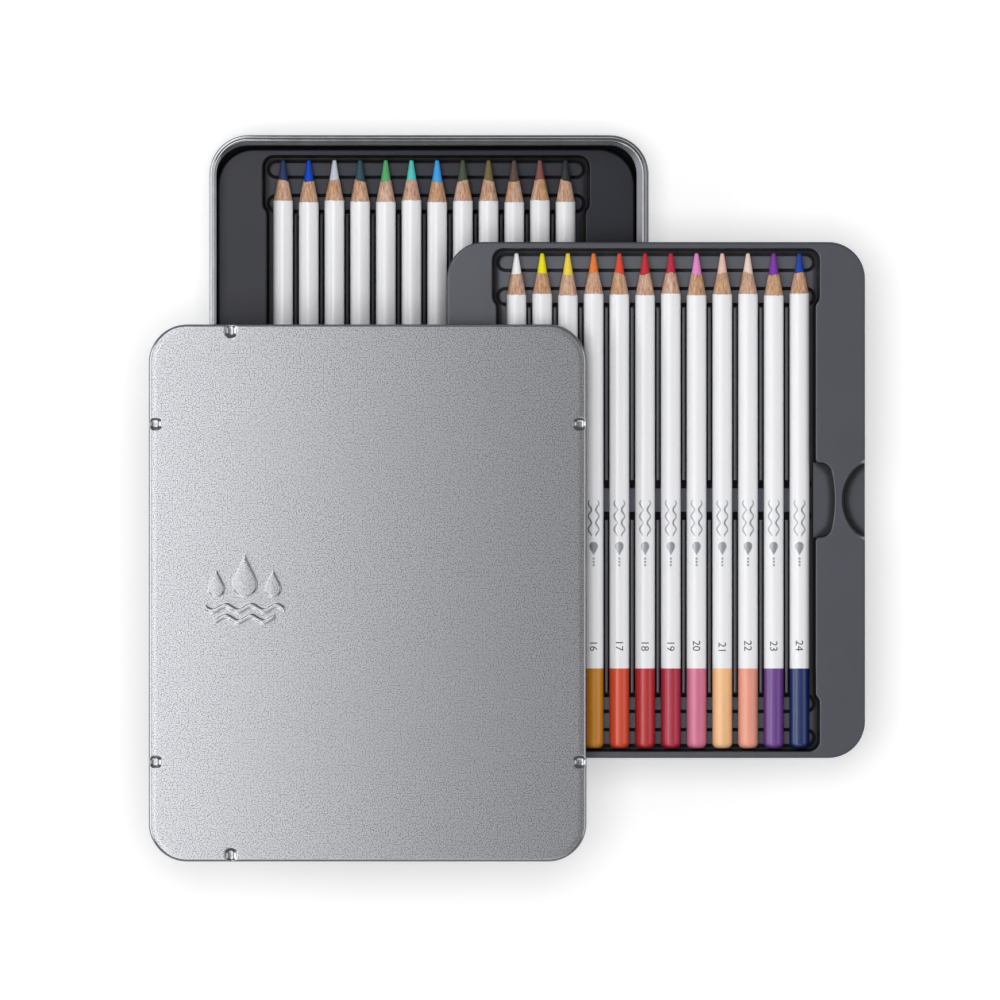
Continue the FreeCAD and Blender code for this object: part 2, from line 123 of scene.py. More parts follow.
# Lamps in metres: name, power setting, place, width and length, point aimed at, and rays it is hidden from.
LAMPS = (
    ("top", "top_power", (-0.03, -0.02, 1.2), (0.8, 0.8), (-0.03, -0.02), "glossy"),
    ("strip", "strip_power", (-0.17, -0.06, 0.47), (0.2, 0.9), (-0.03, -0.06), "diffuse"),
    ("left", "left_power", (-0.85, -0.05, 0.4), (0.5, 0.9), (0.0, -0.05), None),
    ("right", "right_power", (0.85, -0.05, 0.5), (0.5, 0.8), (0.05, -0.05), None),
    ("front", "end_power", (0.03, -0.78, 0.75), (0.9, 0.3), (0.03, -0.03), None),
    ("back", "end_power", (0.03, 0.72, 0.75), (0.9, 0.3), (0.03, -0.03), "glossy"),
)
# Point under the camera.
VIEW_CENTRE = (25.1 * MM, -34.1 * MM)


def linear(code):
    """Linear colour of a six-digit sRGB code."""
    found = []
    for start in (0, 2, 4):
        level = int(code[start:start + 2], 16) / 255
        found.append(level / 12.92 if level <= 0.04045 else ((level + 0.055) / 1.055) ** 2.4)
    return tuple(found)


def length_setting(name, description, default):
    return bpy.props.FloatProperty(
        name=name, description=description, default=default, min=0.0, unit="LENGTH", precision=5)


def share_setting(name, description, default):
    return bpy.props.FloatProperty(
        name=name, description=description, default=default, min=0.0, max=1.0, subtype="FACTOR")


def colour_setting(name, description, code):
    return bpy.props.FloatVectorProperty(
        name=name, description=description, default=linear(code), size=3, min=0.0, max=1.0,
        subtype="COLOR")


def palette_settings(column, description):
    """A colour setting for each pencil, from one column of the palette."""
    return {
        row[0]: colour_setting(row[0].replace("_", " ").capitalize(), description, row[column])
        for row in PENCIL_PALETTE}


def power_setting(name, description, default):
    return bpy.props.FloatProperty(
        name=name, description=description, default=default, min=0.0, unit="POWER")


class PencilSizes(bpy.types.PropertyGroup):
    """Sizes shared by all the pencils."""
    barrel_diameter: length_setting("Barrel", "Diameter of the lacquered barrel", BARREL_DIAMETER)
    lead_diameter: length_setting("Lead", "Diameter of the coloured lead", LEAD_DIAMETER)
    tip_diameter: length_setting("Tip", "Diameter of the blunt tip", 1.25 * MM)
    wood_cone: length_setting("Wood cone", "Length of the bare sharpened wood", 7.3 * MM)
    lead_cone: length_setting("Lead cone", "Length of the sharpened lead", 7.3 * MM)
    dip_length: length_setting("Dipped end", "Length of the coloured dipped end", 28.3 * MM)
    butt_round: length_setting("Butt rounding", "Rounding at the dipped end", 2.0 * MM)
    tip_round: length_setting("Tip rounding", "Rounding at the tip", 0.35 * MM)
    lacquer: length_setting("Lacquer", "Thickness of the white lacquer", 0.06 * MM)
    edge_wobble: length_setting("Lacquer edge", "How far the lacquer's edge wanders", 0.3 * MM)
    sharpening_play: length_setting("Sharpening play", "How unevenly the pencils are sharpened", 0.35 * MM)
    lead_wobble: length_setting("Lead edge", "How far the wood's edge on the lead wanders", 0.45 * MM)
    sides: bpy.props.IntProperty(
        name="Sides", description="Facets round a pencil", default=56, min=12, max=256)


class PencilLeads(bpy.types.PropertyGroup):
    """Colours of the leads."""
    __annotations__ = palette_settings(1, "Colour of this lead")


class PencilDips(bpy.types.PropertyGroup):
    """Colours of the dipped ends."""
    __annotations__ = palette_settings(2, "Colour of this dipped end")


class PrintSizes(bpy.types.PropertyGroup):
    """Sizes of what is printed on the barrels."""
    number_height: length_setting("Number height", "Height of the plain number", 2.7 * MM)
    number_gap: length_setting("Number gap", "From the dipped end to the number", 6.2 * MM)
    ornament_start: length_setting("Ornament start", "From the butt to the ornament", 64.8 * MM)
    ornament_length: length_setting("Ornament length", "Length of the foil ornament", 23.0 * MM)
    ornament_width: length_setting("Ornament width", "Width of the foil ornament", 4.6 * MM)
    film: length_setting("Film", "How far the print stands off the lacquer", 0.03 * MM)


class TinSizes(bpy.types.PropertyGroup):
    """Sizes of the tin and its lid."""
    sheet: length_setting("Sheet", "Thickness of the tinplate", 0.3 * MM)
    corner: length_setting("Corner", "Radius of the corners seen from above", 14.0 * MM)
    shoulder: length_setting("Shoulder", "Height of the step in the tin's wall", 10.0 * MM)
    step: length_setting("Step", "Depth of the step in the tin's wall", 0.9 * MM)
    curl: length_setting("Curl", "Diameter of the rolled rim", 1.8 * MM)
    lip: length_setting("Lip", "Width of the rim's slope into the tin at the back", 1.3 * MM)
    lip_right: length_setting("Right lip", "Width of the slope on the right", 1.9 * MM)
    lip_near: length_setting("Near lip", "Width of the slope on the left and in front", 0.2 * MM)
    foot: length_setting("Foot", "Rounding under the tin", 1.5 * MM)
    tray_floor: length_setting("Tray floor", "Trough floors above a tray's underside", 1.8 * MM)
    lid_corner: length_setting("Lid corner", "Radius of the lid's corners seen from above", 13.5 * MM)
    lid_inset: length_setting("Lid inset", "Folded edge of the lid in from its solid", 0.5 * MM)
    lid_crown: length_setting("Lid crown", "Fall of the panel towards the fold", 0.11 * MM)
    lid_edge: length_setting("Lid edge", "Rounding of the lid's fold", 1.25 * MM)
    hem: length_setting("Hem", "Height of the lid's turned hem", 2.0 * MM)
    dent_diameter: length_setting("Dent diameter", "Width of a dent in the lid's edge", 5.4 * MM)
    dent_length: length_setting("Dent length", "Reach of a dent from the edge", 5.3 * MM)
    dent_depth: length_setting("Dent depth", "Depth of a dent below the panel", 1.2 * MM)
    side_dent: length_setting("Side dents", "Side dents from the middle", 59.6 * MM)
    end_dent: length_setting("End dents", "End dents from the middle", 48.2 * MM)
    motif_height: length_setting("Motif height", "Height of the stamped motif", 0.4 * MM)
    motif_inset: length_setting("Motif place", "Stamped motif left of the middle", 43.4 * MM)


class Finishes(bpy.types.PropertyGroup):
    """Colours of the finishes that the pencils and the tin share."""
    satin_tin: colour_setting("Satin tinplate", "Grained tinplate of the lid", "b0b1b5")
    bright_tin: colour_setting("Bright tinplate", "Smooth tinplate of the tin", "98999d")
    # The slope inside the rim is the tinplate made rougher and painted darker as shade.
    dull_tin: colour_setting("Dull tinplate", "Rubbed slope inside the rim", "808185")
    # The tin's inside is painted near-black as shade.
    inner_lacquer: colour_setting("Inner lacquer", "Lacquer inside the tin", "1a1b1e")
    # The lower tray is the same plastic painted darker, as shade for lying deep in the tin.
    lower_plastic: colour_setting("Lower tray", "Plastic of the lower tray", "23242c")
    lower_gloss: share_setting("Lower gloss", "Specular level of the lower tray", 0.35)
    upper_plastic: colour_setting("Upper tray", "Plastic of the upper tray", "40414a")
    upper_gloss: share_setting("Upper gloss", "Specular level of the upper tray", 0.8)
    lacquer: colour_setting("Lacquer", "White lacquer of the barrels", "eeeef0")
    wood_dark: colour_setting("Wood, dark", "Dark grain of the wood", "9a6a4a")
    wood_light: colour_setting("Wood, light", "Light grain of the wood", "d8b08a")
    wood_pale: colour_setting("Wood, pale", "Light grain of the paler, pinker pencils", "e2c0ae")
    number_ink: colour_setting("Number ink", "Ink of the plain numbers", "3a3b40")
    ornament_foil: colour_setting("Ornament foil", "Foil of the ornament", "a7aab0")


class StageSettings(bpy.types.PropertyGroup):
    """Light, floor and camera."""
    top_power: power_setting("Top", "Power of the wide soft lamp overhead", 8.2)
    strip_power: power_setting("Strip", "Power of the strip lamp mirrored in the bright surfaces", 1.6)
    left_power: power_setting("Left", "Power of the low lamp on the left", 3.0)
    right_power: power_setting("Right", "Power of the low lamp on the right", 1.2)
    end_power: power_setting("Ends", "Power of the lamps in front and behind", 1.0)
    zenith: share_setting("Zenith", "World brightness overhead", 0.31)
    horizon: share_setting("Horizon", "World brightness at the horizon", 0.14)
    floor: colour_setting("Floor", "Colour of the floor", "e8e8e8")
    view_width: length_setting("View width", "Width of what the camera sees", 353.5 * MM)
    lens: bpy.props.FloatProperty(
        name="Lens", description="Focal length of the camera in millimetres", default=1200.0, min=1.0)


def add_node(tree, kind, inputs=None, **settings):
    """New node with its settings; an input takes a value or another node's output."""
    node = tree.nodes.new(kind)
    for key, value in settings.items():
        setattr(node, key, value)
    for key, value in (inputs or {}).items():
        feed(tree, node.inputs[key], value)
    return node


def feed(tree, socket, value):
    if isinstance(value, bpy.types.NodeSocket):
        tree.links.new(value, socket)
    else:
        socket.default_value = value


def sums(tree, operation, *terms):
    """Output of one Math node."""
    node = add_node(tree, "ShaderNodeMath", operation=operation)
    for place, term in enumerate(terms):
        feed(tree, node.inputs[place], term)
    return node.outputs[0]


def blend(tree, factor, first, second):
    """Output of a colour mix."""
    node = tree.nodes.new("ShaderNodeMix")
    node.data_type = "RGBA"
    feed(tree, node.inputs["Factor"], factor)
    colours = [s for s in node.inputs if s.type == "RGBA"]
    feed(tree, colours[0], first)
    feed(tree, colours[1], second)
    return [s for s in node.outputs if s.type == "RGBA"][0]


def ranged(tree, value, low, high, from_low=0.0, from_high=1.0):
    """A value carried from one range to another."""
    return add_node(tree, "ShaderNodeMapRange", {
        "Value": value, "From Min": from_low, "From Max": from_high,
        "To Min": low, "To Max": high}).outputs["Result"]


def tinted(colour, factor):
    return tuple(min(1.0, part * factor) for part in colour) + (1.0,)


class Finish:
    """A material being made: its tree, its shader and its coordinates."""

    def __init__(self, name, **sockets):
        self.material = bpy.data.materials.new(name)
        self.material.use_nodes = True
        self.tree = self.material.node_tree
        self.shader = self.tree.nodes["Principled BSDF"]
        coordinates = add_node(self.tree, "ShaderNodeTexCoord").outputs
        self.place = coordinates["Object"]
        self.normal = coordinates["Normal"]
        for key, value in sockets.items():
            self.set(key.replace("_", " ").title().replace("Ior", "IOR"), value)

    def set(self, socket, value):
        feed(self.tree, self.shader.inputs[socket], value)

    def upward(self, vector):
        return add_node(self.tree, "ShaderNodeSeparateXYZ", {"Vector": vector}).outputs["Z"]

    def noise(self, scale, detail=2.0, roughness=0.6, distortion=0.0):
        """A noise value; a scale of three numbers stretches it."""
        place = self.place
        if isinstance(scale, tuple):
            place = add_node(self.tree, "ShaderNodeMapping", {"Vector": place, "Scale": scale}).outputs[0]
            scale = 1.0
        return add_node(self.tree, "ShaderNodeTexNoise", {
            "Vector": place, "Scale": scale, "Detail": detail,
            "Roughness": roughness, "Distortion": distortion}).outputs["Fac"]

    def flakes(self, scale):
        cells = add_node(self.tree, "ShaderNodeTexVoronoi", {
            "Vector": self.place, "Scale": scale, "Randomness": 0.8}, voronoi_dimensions="2D")
        return cells.outputs["Distance"]

    # Ambient occlusion of a mesh by itself, which paints shade into corners.
    def corners(self, reach):
        shade = add_node(
            self.tree, "ShaderNodeAmbientOcclusion", {"Distance": reach}, only_local=True, samples=12)
        return shade.outputs["AO"]

    def relief(self, height, strength, distance, over=None):
        inputs = {"Height": height, "Strength": strength, "Distance": distance}
        if over:
            inputs["Normal"] = over
        return add_node(self.tree, "ShaderNodeBump", inputs).outputs["Normal"]

    def weighed(self, first, second, share):
        """Sum of two values, the first by its share and the second by the rest."""
        times = partial(sums, self.tree, "MULTIPLY")
        return sums(self.tree, "ADD", times(first, share), times(second, 1 - share))

    def mottled(self, value, colour, dark, light):
        """A colour that drifts between two tints with a noise value."""
        share = ranged(self.tree, value, 0.0, 1.0, *NOISE_SPAN)
        return blend(self.tree, share, tinted(colour, dark), tinted(colour, light))

    def roughen(self, value, low, high):
        self.set("Roughness", ranged(self.tree, value, low, high, *NOISE_SPAN))


def satin_tin_finish(colour):
    """Satin tinplate of the lid: a fine bright grain, pressed smooth at the folds, which carry a painted
    highlight and painted shade.
    """
    finish = Finish("satin_tinplate", metallic=1.0)
    tree = finish.tree
    grain = finish.noise(3600.0)
    facing = finish.upward(finish.normal)
    level = ranged(tree, facing, 0.0, 1.0, 0.9, 0.99)
    speck = finish.weighed(grain, finish.flakes(2100.0), 0.35)
    tone = ranged(tree, speck, 1.0, 0.0, 0.2, 0.6)
    grained = blend(tree, tone, tinted(colour, 0.55), tinted(colour, 1.36))
    # Round the fold the colour is painted lighter as a highlight, then dark as shade where the fold turns
    # steep.
    steep = ranged(tree, facing, 1.0, 0.0, 0.55, 0.8)
    fold_painted_light_and_shade = blend(tree, steep, tinted(colour, 1.15), tinted(colour, 0.3))
    finish.set("Base Color", blend(tree, level, fold_painted_light_and_shade, grained))
    fold_roughness = 0.2
    rougher = sums(tree, "SUBTRACT", ranged(tree, grain, 0.34, 0.42, *NOISE_SPAN), fold_roughness)
    finish.set("Roughness", sums(tree, "ADD", fold_roughness, sums(tree, "MULTIPLY", level, rougher)))
    wide = finish.relief(finish.noise(14.0, 2.0, 0.5), strength=0.1, distance=0.6 * MM)
    grit = sums(tree, "MULTIPLY", speck, level)
    finish.set("Normal", finish.relief(grit, strength=0.1, distance=0.03 * MM, over=wide))
    return finish.material


def drawn_tin_finish(name, colour, roughness):
    """Drawn tinplate of the tin's wall and rim, with faint marks along the draw."""
    finish = Finish(name, metallic=1.0)
    haze = finish.noise(160.0, 3.0)
    finish.set("Base Color", finish.mottled(haze, colour, dark=0.92, light=1.08))
    finish.roughen(haze, roughness, roughness + 0.06)
    draw = finish.noise((240.0, 240.0, 2600.0))
    finish.set("Normal", finish.relief(draw, strength=0.015, distance=0.04 * MM))
    return finish.material


def inner_painted_shade_finish(colour):
    """Near-black painted shade inside the tin, dull and faintly mottled."""
    finish = Finish("inner_lacquer", specular_ior_level=0.3)
    cloud = finish.noise(300.0, 3.0)
    finish.set("Base Color", finish.mottled(cloud, colour, dark=0.8, light=1.2))
    finish.roughen(cloud, low=0.55, high=0.7)
    return finish.material


def plastic_finish(name, colour, gloss, floor_z):
    """Satin formed plastic with a fine tooth; trough floors painted lighter as light, and steep walls,
    corners and channels painted dark as shade.
    """
    finish = Finish(name, specular_ior_level=gloss)
    tree = finish.tree
    lit_floor_height = 0.8 * MM
    channel_top = 0.1 * MM
    channel_bottom = 0.9 * MM
    corner_reach = 4.0 * MM
    tooth = finish.noise(2600.0)
    tone = finish.weighed(tooth, finish.noise(45.0, 3.0, 0.55), 0.6)
    z = finish.upward(finish.place)
    # Trough floors are painted lighter, a painted light where little light reaches them.
    floor_light_share = ranged(tree, z, 1.0, 0.0, floor_z, floor_z + lit_floor_height)
    # Channels below the trough floors are painted dark as shade and made rougher.
    sunk = ranged(tree, z, 1.0, 0.0, floor_z - channel_bottom, floor_z - channel_top)
    floor_painted_lighter = blend(tree, floor_light_share, finish.mottled(tone, colour, dark=0.9, light=1.1), tinted(colour, 1.6))
    # Steep walls, and corners found by ambient occlusion, are painted nearly black as shade.
    steep = ranged(tree, finish.upward(finish.normal), 0.85, 0.0, 0.5, 0.8)
    foot = ranged(tree, finish.corners(corner_reach), 1.0, 0.0, 0.72, 0.84)
    shaded = blend(tree, sums(tree, "MAXIMUM", steep, foot), floor_painted_lighter, tinted(colour, 0.07))
    finish.set("Base Color", blend(tree, sunk, shaded, tinted(colour, 0.15)))
    sheen = ranged(tree, finish.noise((900.0, 70.0, 300.0)), 0.33, 0.38, 0.35, 0.7)
    finish.set("Roughness", sums(tree, "ADD", sheen, sums(tree, "MULTIPLY", sunk, 0.4)))
    finish.set("Normal", finish.relief(tooth, strength=0.08, distance=0.03 * MM))
    return finish.material


def lacquer_finish(colour):
    """Glossy white lacquer with a faint sway along the barrel."""
    finish = Finish("white_lacquer", coat_weight=0.35, coat_roughness=0.12)
    sway = finish.noise((260.0, 40.0, 260.0), 2.0, 0.5)
    finish.set("Base Color", finish.mottled(sway, colour, dark=0.985, light=1.0))
    finish.roughen(finish.noise(1800.0), low=0.2, high=0.26)
    finish.set("Normal", finish.relief(sway, strength=0.04, distance=0.1 * MM))
    return finish.material


def dip_finish(name, colour):
    """Glossy paint of a dipped end, a little uneven in its cover."""
    finish = Finish(name, coat_weight=0.7, coat_roughness=0.2, ior=1.5, roughness=0.4)
    sway = finish.noise((320.0, 70.0, 320.0), 2.0, 0.5)
    finish.set("Base Color", finish.mottled(sway, colour, dark=0.96, light=1.04))
    return finish.material


def wood_finish(dark, light, pale):
    """Bare sharpened wood: long grain with short pores, paler on some pencils."""
    finish = Finish("bare_wood", specular_ior_level=0.3)
    tree = finish.tree
    pores = finish.noise((5200.0, 650.0, 5200.0), 2.0, 0.7)
    tone = finish.weighed(finish.noise((1500.0, 130.0, 1500.0), 3.0, 0.6, 0.6), pores, 0.65)
    board = finish.noise((160.0, 2.0, 2.0), 0.0, 0.5)
    spring = blend(tree, ranged(tree, board, 0.0, 1.0, 0.35, 0.6), tinted(light, 1.0), tinted(pale, 1.0))
    finish.set("Base Color", blend(
        tree, ranged(tree, tone, 0.0, 1.0, 0.34, 0.62), tinted(dark, 1.0), spring))
    finish.roughen(pores, low=0.55, high=0.75)
    finish.set("Normal", finish.relief(tone, strength=0.4, distance=0.08 * MM))
    return finish.material


def lead_finish(name, colour):
    """Dry coloured lead with sharpening marks round it."""
    finish = Finish(name, specular_ior_level=0.3)
    dust = finish.noise(2600.0, 3.0, 0.65)
    tone = finish.weighed(dust, finish.noise((420.0, 4200.0, 420.0)), 0.6)
    finish.set("Base Color", finish.mottled(tone, colour, dark=0.84, light=1.16))
    finish.roughen(dust, low=0.5, high=0.72)
    finish.set("Normal", finish.relief(tone, strength=0.4, distance=0.07 * MM))
    return finish.material


def ink_finish(name, colour, metallic):
    """Thin print on the lacquer, slightly broken in its cover."""
    finish = Finish(name, metallic=metallic)
    cover = finish.noise(3000.0)
    finish.set("Base Color", finish.mottled(cover, colour, dark=0.86, light=1.14))
    finish.roughen(cover, low=0.3, high=0.45)
    return finish.material


def linked(name, data):
    """New object in the scene."""
    thing = bpy.data.objects.new(name, data)
    bpy.context.scene.collection.objects.link(thing)
    return thing


def plain_mesh(carrier):
    """Mesh of an evaluated object, which is then removed."""
    ready = carrier.evaluated_get(bpy.context.evaluated_depsgraph_get())
    mesh = bpy.data.meshes.new_from_object(ready)
    bpy.data.objects.remove(carrier)
    return mesh


def placed(name, mesh, body, slot, *nodes):
    """Puts a finished mesh on its CAD body and hides the CAD nodes it stands for."""
    piece = linked(name, mesh)
    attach(piece, body)
    if nodes:
        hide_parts(*nodes)


def softened(mesh, degrees):
    """Smooth shading with sharp folds."""
    mesh.polygons.foreach_set("use_smooth", [True] * len(mesh.polygons))
    mesh.set_sharp_from_angle(angle=math.radians(degrees))
    mesh.update()
    return mesh


TURNED_INPUTS = {
    "Float": (
        "Start", "End", "Start radius", "End radius", "Start rounding", "End rounding",
        "End wobble", "Wobble reach", "Wobble scale", "End slant", "End slope", "Seed"),
    "Vector": ("Axis",),
    "Int": ("Rings", "Sides"),
    "Material": ("Material",),
}


def turned_section_tree():
    """Node tree for one turned section of a pencil, along +Y about an axis."""
    tree = bpy.data.node_groups.new("Turned section", "GeometryNodeTree")
    for kind, labels in TURNED_INPUTS.items():
        for label in labels:
            tree.interface.new_socket(name=label, in_out="INPUT", socket_type="NodeSocket" + kind)
    tree.interface.new_socket(name="Geometry", in_out="OUTPUT", socket_type="NodeSocketGeometry")
    given = tree.nodes.new("NodeGroupInput").outputs
    axis_clear = 0.1 * MM
    node = partial(add_node, tree)
    plus, minus, times, larger = (
        partial(sums, tree, kind) for kind in ("ADD", "SUBTRACT", "MULTIPLY", "MAXIMUM"))

    def joined(**parts):
        return node("ShaderNodeCombineXYZ", parts).outputs[0]

    def vector(operation, inputs):
        return node("ShaderNodeVectorMath", inputs, operation=operation).outputs

    span = minus(given["End"], given["Start"])
    line = node("GeometryNodeCurvePrimitiveLine", {"End": (0.0, 1.0, 0.0)})
    rings = node("GeometryNodeResampleCurve", {"Curve": line.outputs[0], "Count": given["Rings"]})
    # Rings crowd towards both ends, where the roundings and the wandering edges are.
    factor = node("GeometryNodeSplineParameter").outputs["Factor"]
    swing = times(sums(tree, "SINE", times(factor, math.tau)), CROWDING / math.tau)
    along = plus(given["Start"], times(span, minus(factor, swing)))
    spread = node("GeometryNodeSetPosition", {"Geometry": rings.outputs[0], "Position": joined(Y=along)})
    run = node("GeometryNodeSplineParameter").outputs

    def rounding_loss(radius, distance):
        rest = larger(minus(radius, distance), 0.0)
        square = minus(times(radius, radius), times(rest, rest))
        return minus(radius, sums(tree, "SQRT", larger(square, 0.0)))

    grow = minus(given["End radius"], given["Start radius"])
    plain = plus(given["Start radius"], times(grow, run["Factor"]))
    eased = minus(plain, rounding_loss(given["Start rounding"], run["Length"]))
    radius = minus(eased, rounding_loss(given["End rounding"], minus(span, run["Length"])))
    circle = node("GeometryNodeCurvePrimitiveCircle", {"Resolution": given["Sides"], "Radius": 1.0})
    skin = node("GeometryNodeCurveToMesh", {
        "Curve": spread.outputs[0], "Profile Curve": circle.outputs[0],
        "Scale": radius, "Fill Caps": True})
    # The end edge wanders along the pencil, fading out within the reach.
    here = node("GeometryNodeInputPosition").outputs[0]
    at = node("ShaderNodeSeparateXYZ", {"Vector": here}).outputs
    flat = joined(X=at["X"], Z=at["Z"])
    off = vector("LENGTH", {0: flat})["Value"]
    outward = vector("NORMALIZE", {0: flat})[0]
    wave = node("ShaderNodeTexNoise", {
        "Vector": flat, "W": given["Seed"], "Scale": given["Wobble scale"], "Detail": 2.0},
        noise_dimensions="4D")
    sway = times(given["End wobble"], ranged(tree, wave.outputs["Fac"], -1.0, 1.0, 0.25, 0.75))
    phase = times(given["Seed"], SEED_TURN)
    side = joined(X=sums(tree, "COSINE", phase), Z=sums(tree, "SINE", phase))
    slant = times(given["End slant"], vector("DOT_PRODUCT", {0: outward, 1: side})["Value"])
    near = ranged(tree, at["Y"], 0.0, 1.0, minus(given["End"], given["Wobble reach"]), given["End"])
    shift = times(near, plus(sway, slant))
    pull = times(times(shift, given["End slope"]), -1.0)
    pinch = vector("SCALE", {0: outward, "Scale": pull})[0]
    drift = vector("ADD", {0: joined(Y=shift), 1: pinch})[0]
    wandering = node("GeometryNodeSetPosition", {
        "Geometry": skin.outputs[0], "Offset": drift,
        "Selection": sums(tree, "GREATER_THAN", off, axis_clear)})
    on_axis = node("GeometryNodeTransform", {
        "Geometry": wandering.outputs[0], "Translation": given["Axis"]})
    real = node("GeometryNodeRealizeInstances", {"Geometry": on_axis.outputs[0]})
    dressed = node("GeometryNodeSetMaterial", {
        "Geometry": real.outputs[0], "Material": given["Material"]})
    node("NodeGroupOutput", {"Geometry": dressed.outputs[0]})
    return tree


def turned_mesh(tree, name, values):
    """Plain mesh of one turned section."""
    maker = linked(name, bpy.data.meshes.new(name))
    modifier = maker.modifiers.new("Turned section", "NODES")
    modifier.node_group = tree
    for item in tree.interface.items_tree:
        if item.in_out == "INPUT":
            modifier[item.identifier] = values.get(item.name, 0.0)
    mesh = plain_mesh(maker)
    if not mesh.polygons:
        raise RuntimeError(name + " came out empty")
    shell = bmesh.new()
    shell.from_mesh(mesh)
    bmesh.ops.recalc_face_normals(shell, faces=shell.faces)
    shell.to_mesh(mesh)
    shell.free()
    mesh.name = name
    return softened(mesh, degrees=35)


def turned_piece(tree, body, part, slot, values, *nodes):
    """Makes one turned section of a pencil and puts it on the pencil's body."""
    name = body + "_" + part
    placed(name, turned_mesh(tree, name, values), body, slot, *nodes)


def pencils():
    """Number, body, slot, axis point and both ends of each pencil, read from the frame."""
    for number, (slot, *_) in enumerate(PENCIL_PALETTE, 1):
        body = "pencil_%02d" % number
        low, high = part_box(body + "_casing")
        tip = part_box(body + "_lead")[1].y
        axis = Vector(((low.x + high.x) / 2, 0.0, (low.z + high.z) / 2))
        yield number, body, slot, axis, low.y, tip


def flat_shape(outlines):
    """Flat faces from closed outlines, each a list of points."""
    flat = bmesh.new()
    for outline in outlines:
        flat.faces.new([flat.verts.new((x, y, 0.0)) for x, y in outline])
    bmesh.ops.triangulate(flat, faces=flat.faces)
    return flat


def number_outline(text, height):
    """Flat mesh of a plain number from the built-in letters, reading along +X from 0."""
    words = bpy.data.curves.new("number", "FONT")
    words.body = text
    words.resolution_u = 6
    mesh = plain_mesh(linked("number", words))
    flat = bmesh.new()
    flat.from_mesh(mesh)
    bpy.data.meshes.remove(mesh)
    bmesh.ops.remove_doubles(flat, verts=flat.verts, dist=1e-5)
    lows = [min(vert.co[k] for vert in flat.verts) for k in (0, 1)]
    high = max(vert.co.y for vert in flat.verts)
    scale = height / (high - lows[1])
    for vert in flat.verts:
        vert.co = ((vert.co.x - lows[0]) * scale, (vert.co.y - lows[1]) * scale - height / 2, 0.0)
    return flat


def sideways(points, reach):
    """A line as an array, and the step to its left at each point."""
    line = np.array(points)
    along = np.gradient(line, axis=0)
    along /= np.linalg.norm(along, axis=1)[:, None]
    return line, np.column_stack([-along[:, 1], along[:, 0]]) * reach


def ribbon(points, width):
    """Outline of a line of some width with round ends."""
    bluntness = 8
    least = 0.02
    line, side = sideways(points, width / 2)
    swell = np.sqrt(np.maximum(1 - np.linspace(-1, 1, len(line)) ** bluntness, least))[:, None]
    return [tuple(p) for p in line + side * swell] + [tuple(p) for p in (line - side * swell)[::-1]]


def drop_outline(x, y, radius, point):
    """Outline of a drop lying along +X, its point ahead."""
    lean = math.asin(1 / point)
    turns = np.linspace(math.pi / 2 - lean, math.tau - (math.pi / 2 - lean), 28)
    around = [(x + radius * math.cos(t), y + radius * math.sin(t)) for t in turns]
    return around + [(x + radius * point, y)]


def ornament_outline(length, width):
    """Flat mesh of the foil ornament: two wave lines, a drop and three dots, along +X from 0."""
    wave_end = 0.56 * length
    drop_place = 0.71 * length
    dot_places = (0.9 * length, 0.95 * length, 1.0 * length)
    waves = 5
    level = 0.3 * width
    swing = 0.13 * width
    line_width = 0.13 * width
    drop_radius = 0.34 * width
    drop_point = 2.0
    dot = 0.09 * width
    run = np.linspace(0.0, wave_end, 60)
    outlines = []
    for side in (1, -1):
        crest = side * level + side * swing * np.sin(run / length * math.tau * waves)
        outlines.append(ribbon(np.column_stack([run, crest]), line_width))
    outlines.append(drop_outline(drop_place, 0.0, drop_radius, drop_point))
    turns = np.linspace(0, math.tau, 17)[:-1]
    for place in dot_places:
        outlines.append([(place + dot * math.cos(t), dot * math.sin(t)) for t in turns])
    return flat_shape(outlines)


def wrapped(flat, name, axis, start, radius, film, material):
    """Lays a flat print round the top of a barrel: it reads towards -Y with its upper side to +X."""
    reach = max(abs(vert.co.y) for vert in flat.verts)
    facet = 6
    step = radius * math.radians(facet)
    for k in range(int(-reach / step), int(reach / step) + 1):
        parts = flat.verts[:] + flat.edges[:] + flat.faces[:]
        bmesh.ops.bisect_plane(flat, geom=parts, plane_co=(0.0, k * step, 0.0), plane_no=(0.0, 1.0, 0.0))
    bmesh.ops.recalc_face_normals(flat, faces=flat.faces)
    for face in flat.faces:
        if face.normal.z < 0:
            face.normal_flip()
    for vert in flat.verts:
        vert.co.z = film
    lower = bmesh.ops.duplicate(flat, geom=flat.verts[:] + flat.edges[:] + flat.faces[:])
    edges = {a: b for a, b in lower["edge_map"].items() if isinstance(a, bmesh.types.BMEdge)}
    for piece in lower["geom"]:
        if isinstance(piece, bmesh.types.BMVert):
            piece.co.z = -film
        if isinstance(piece, bmesh.types.BMFace):
            piece.normal_flip()
    doubled = set(edges.values())
    for upper, under in edges.items():
        if upper.is_boundary and upper not in doubled:
            bmesh.ops.bridge_loops(flat, edges=[upper, under])
    flat_mesh = bpy.data.meshes.new(name)
    for vert in flat.verts:
        turn = vert.co.y / radius
        out = radius + vert.co.z
        vert.co = (axis.x + out * math.sin(turn), start - vert.co.x, axis.z + out * math.cos(turn))
    bmesh.ops.recalc_face_normals(flat, faces=flat.faces)
    flat.to_mesh(flat_mesh)
    flat.free()
    flat_mesh.materials.append(material)
    return flat_mesh


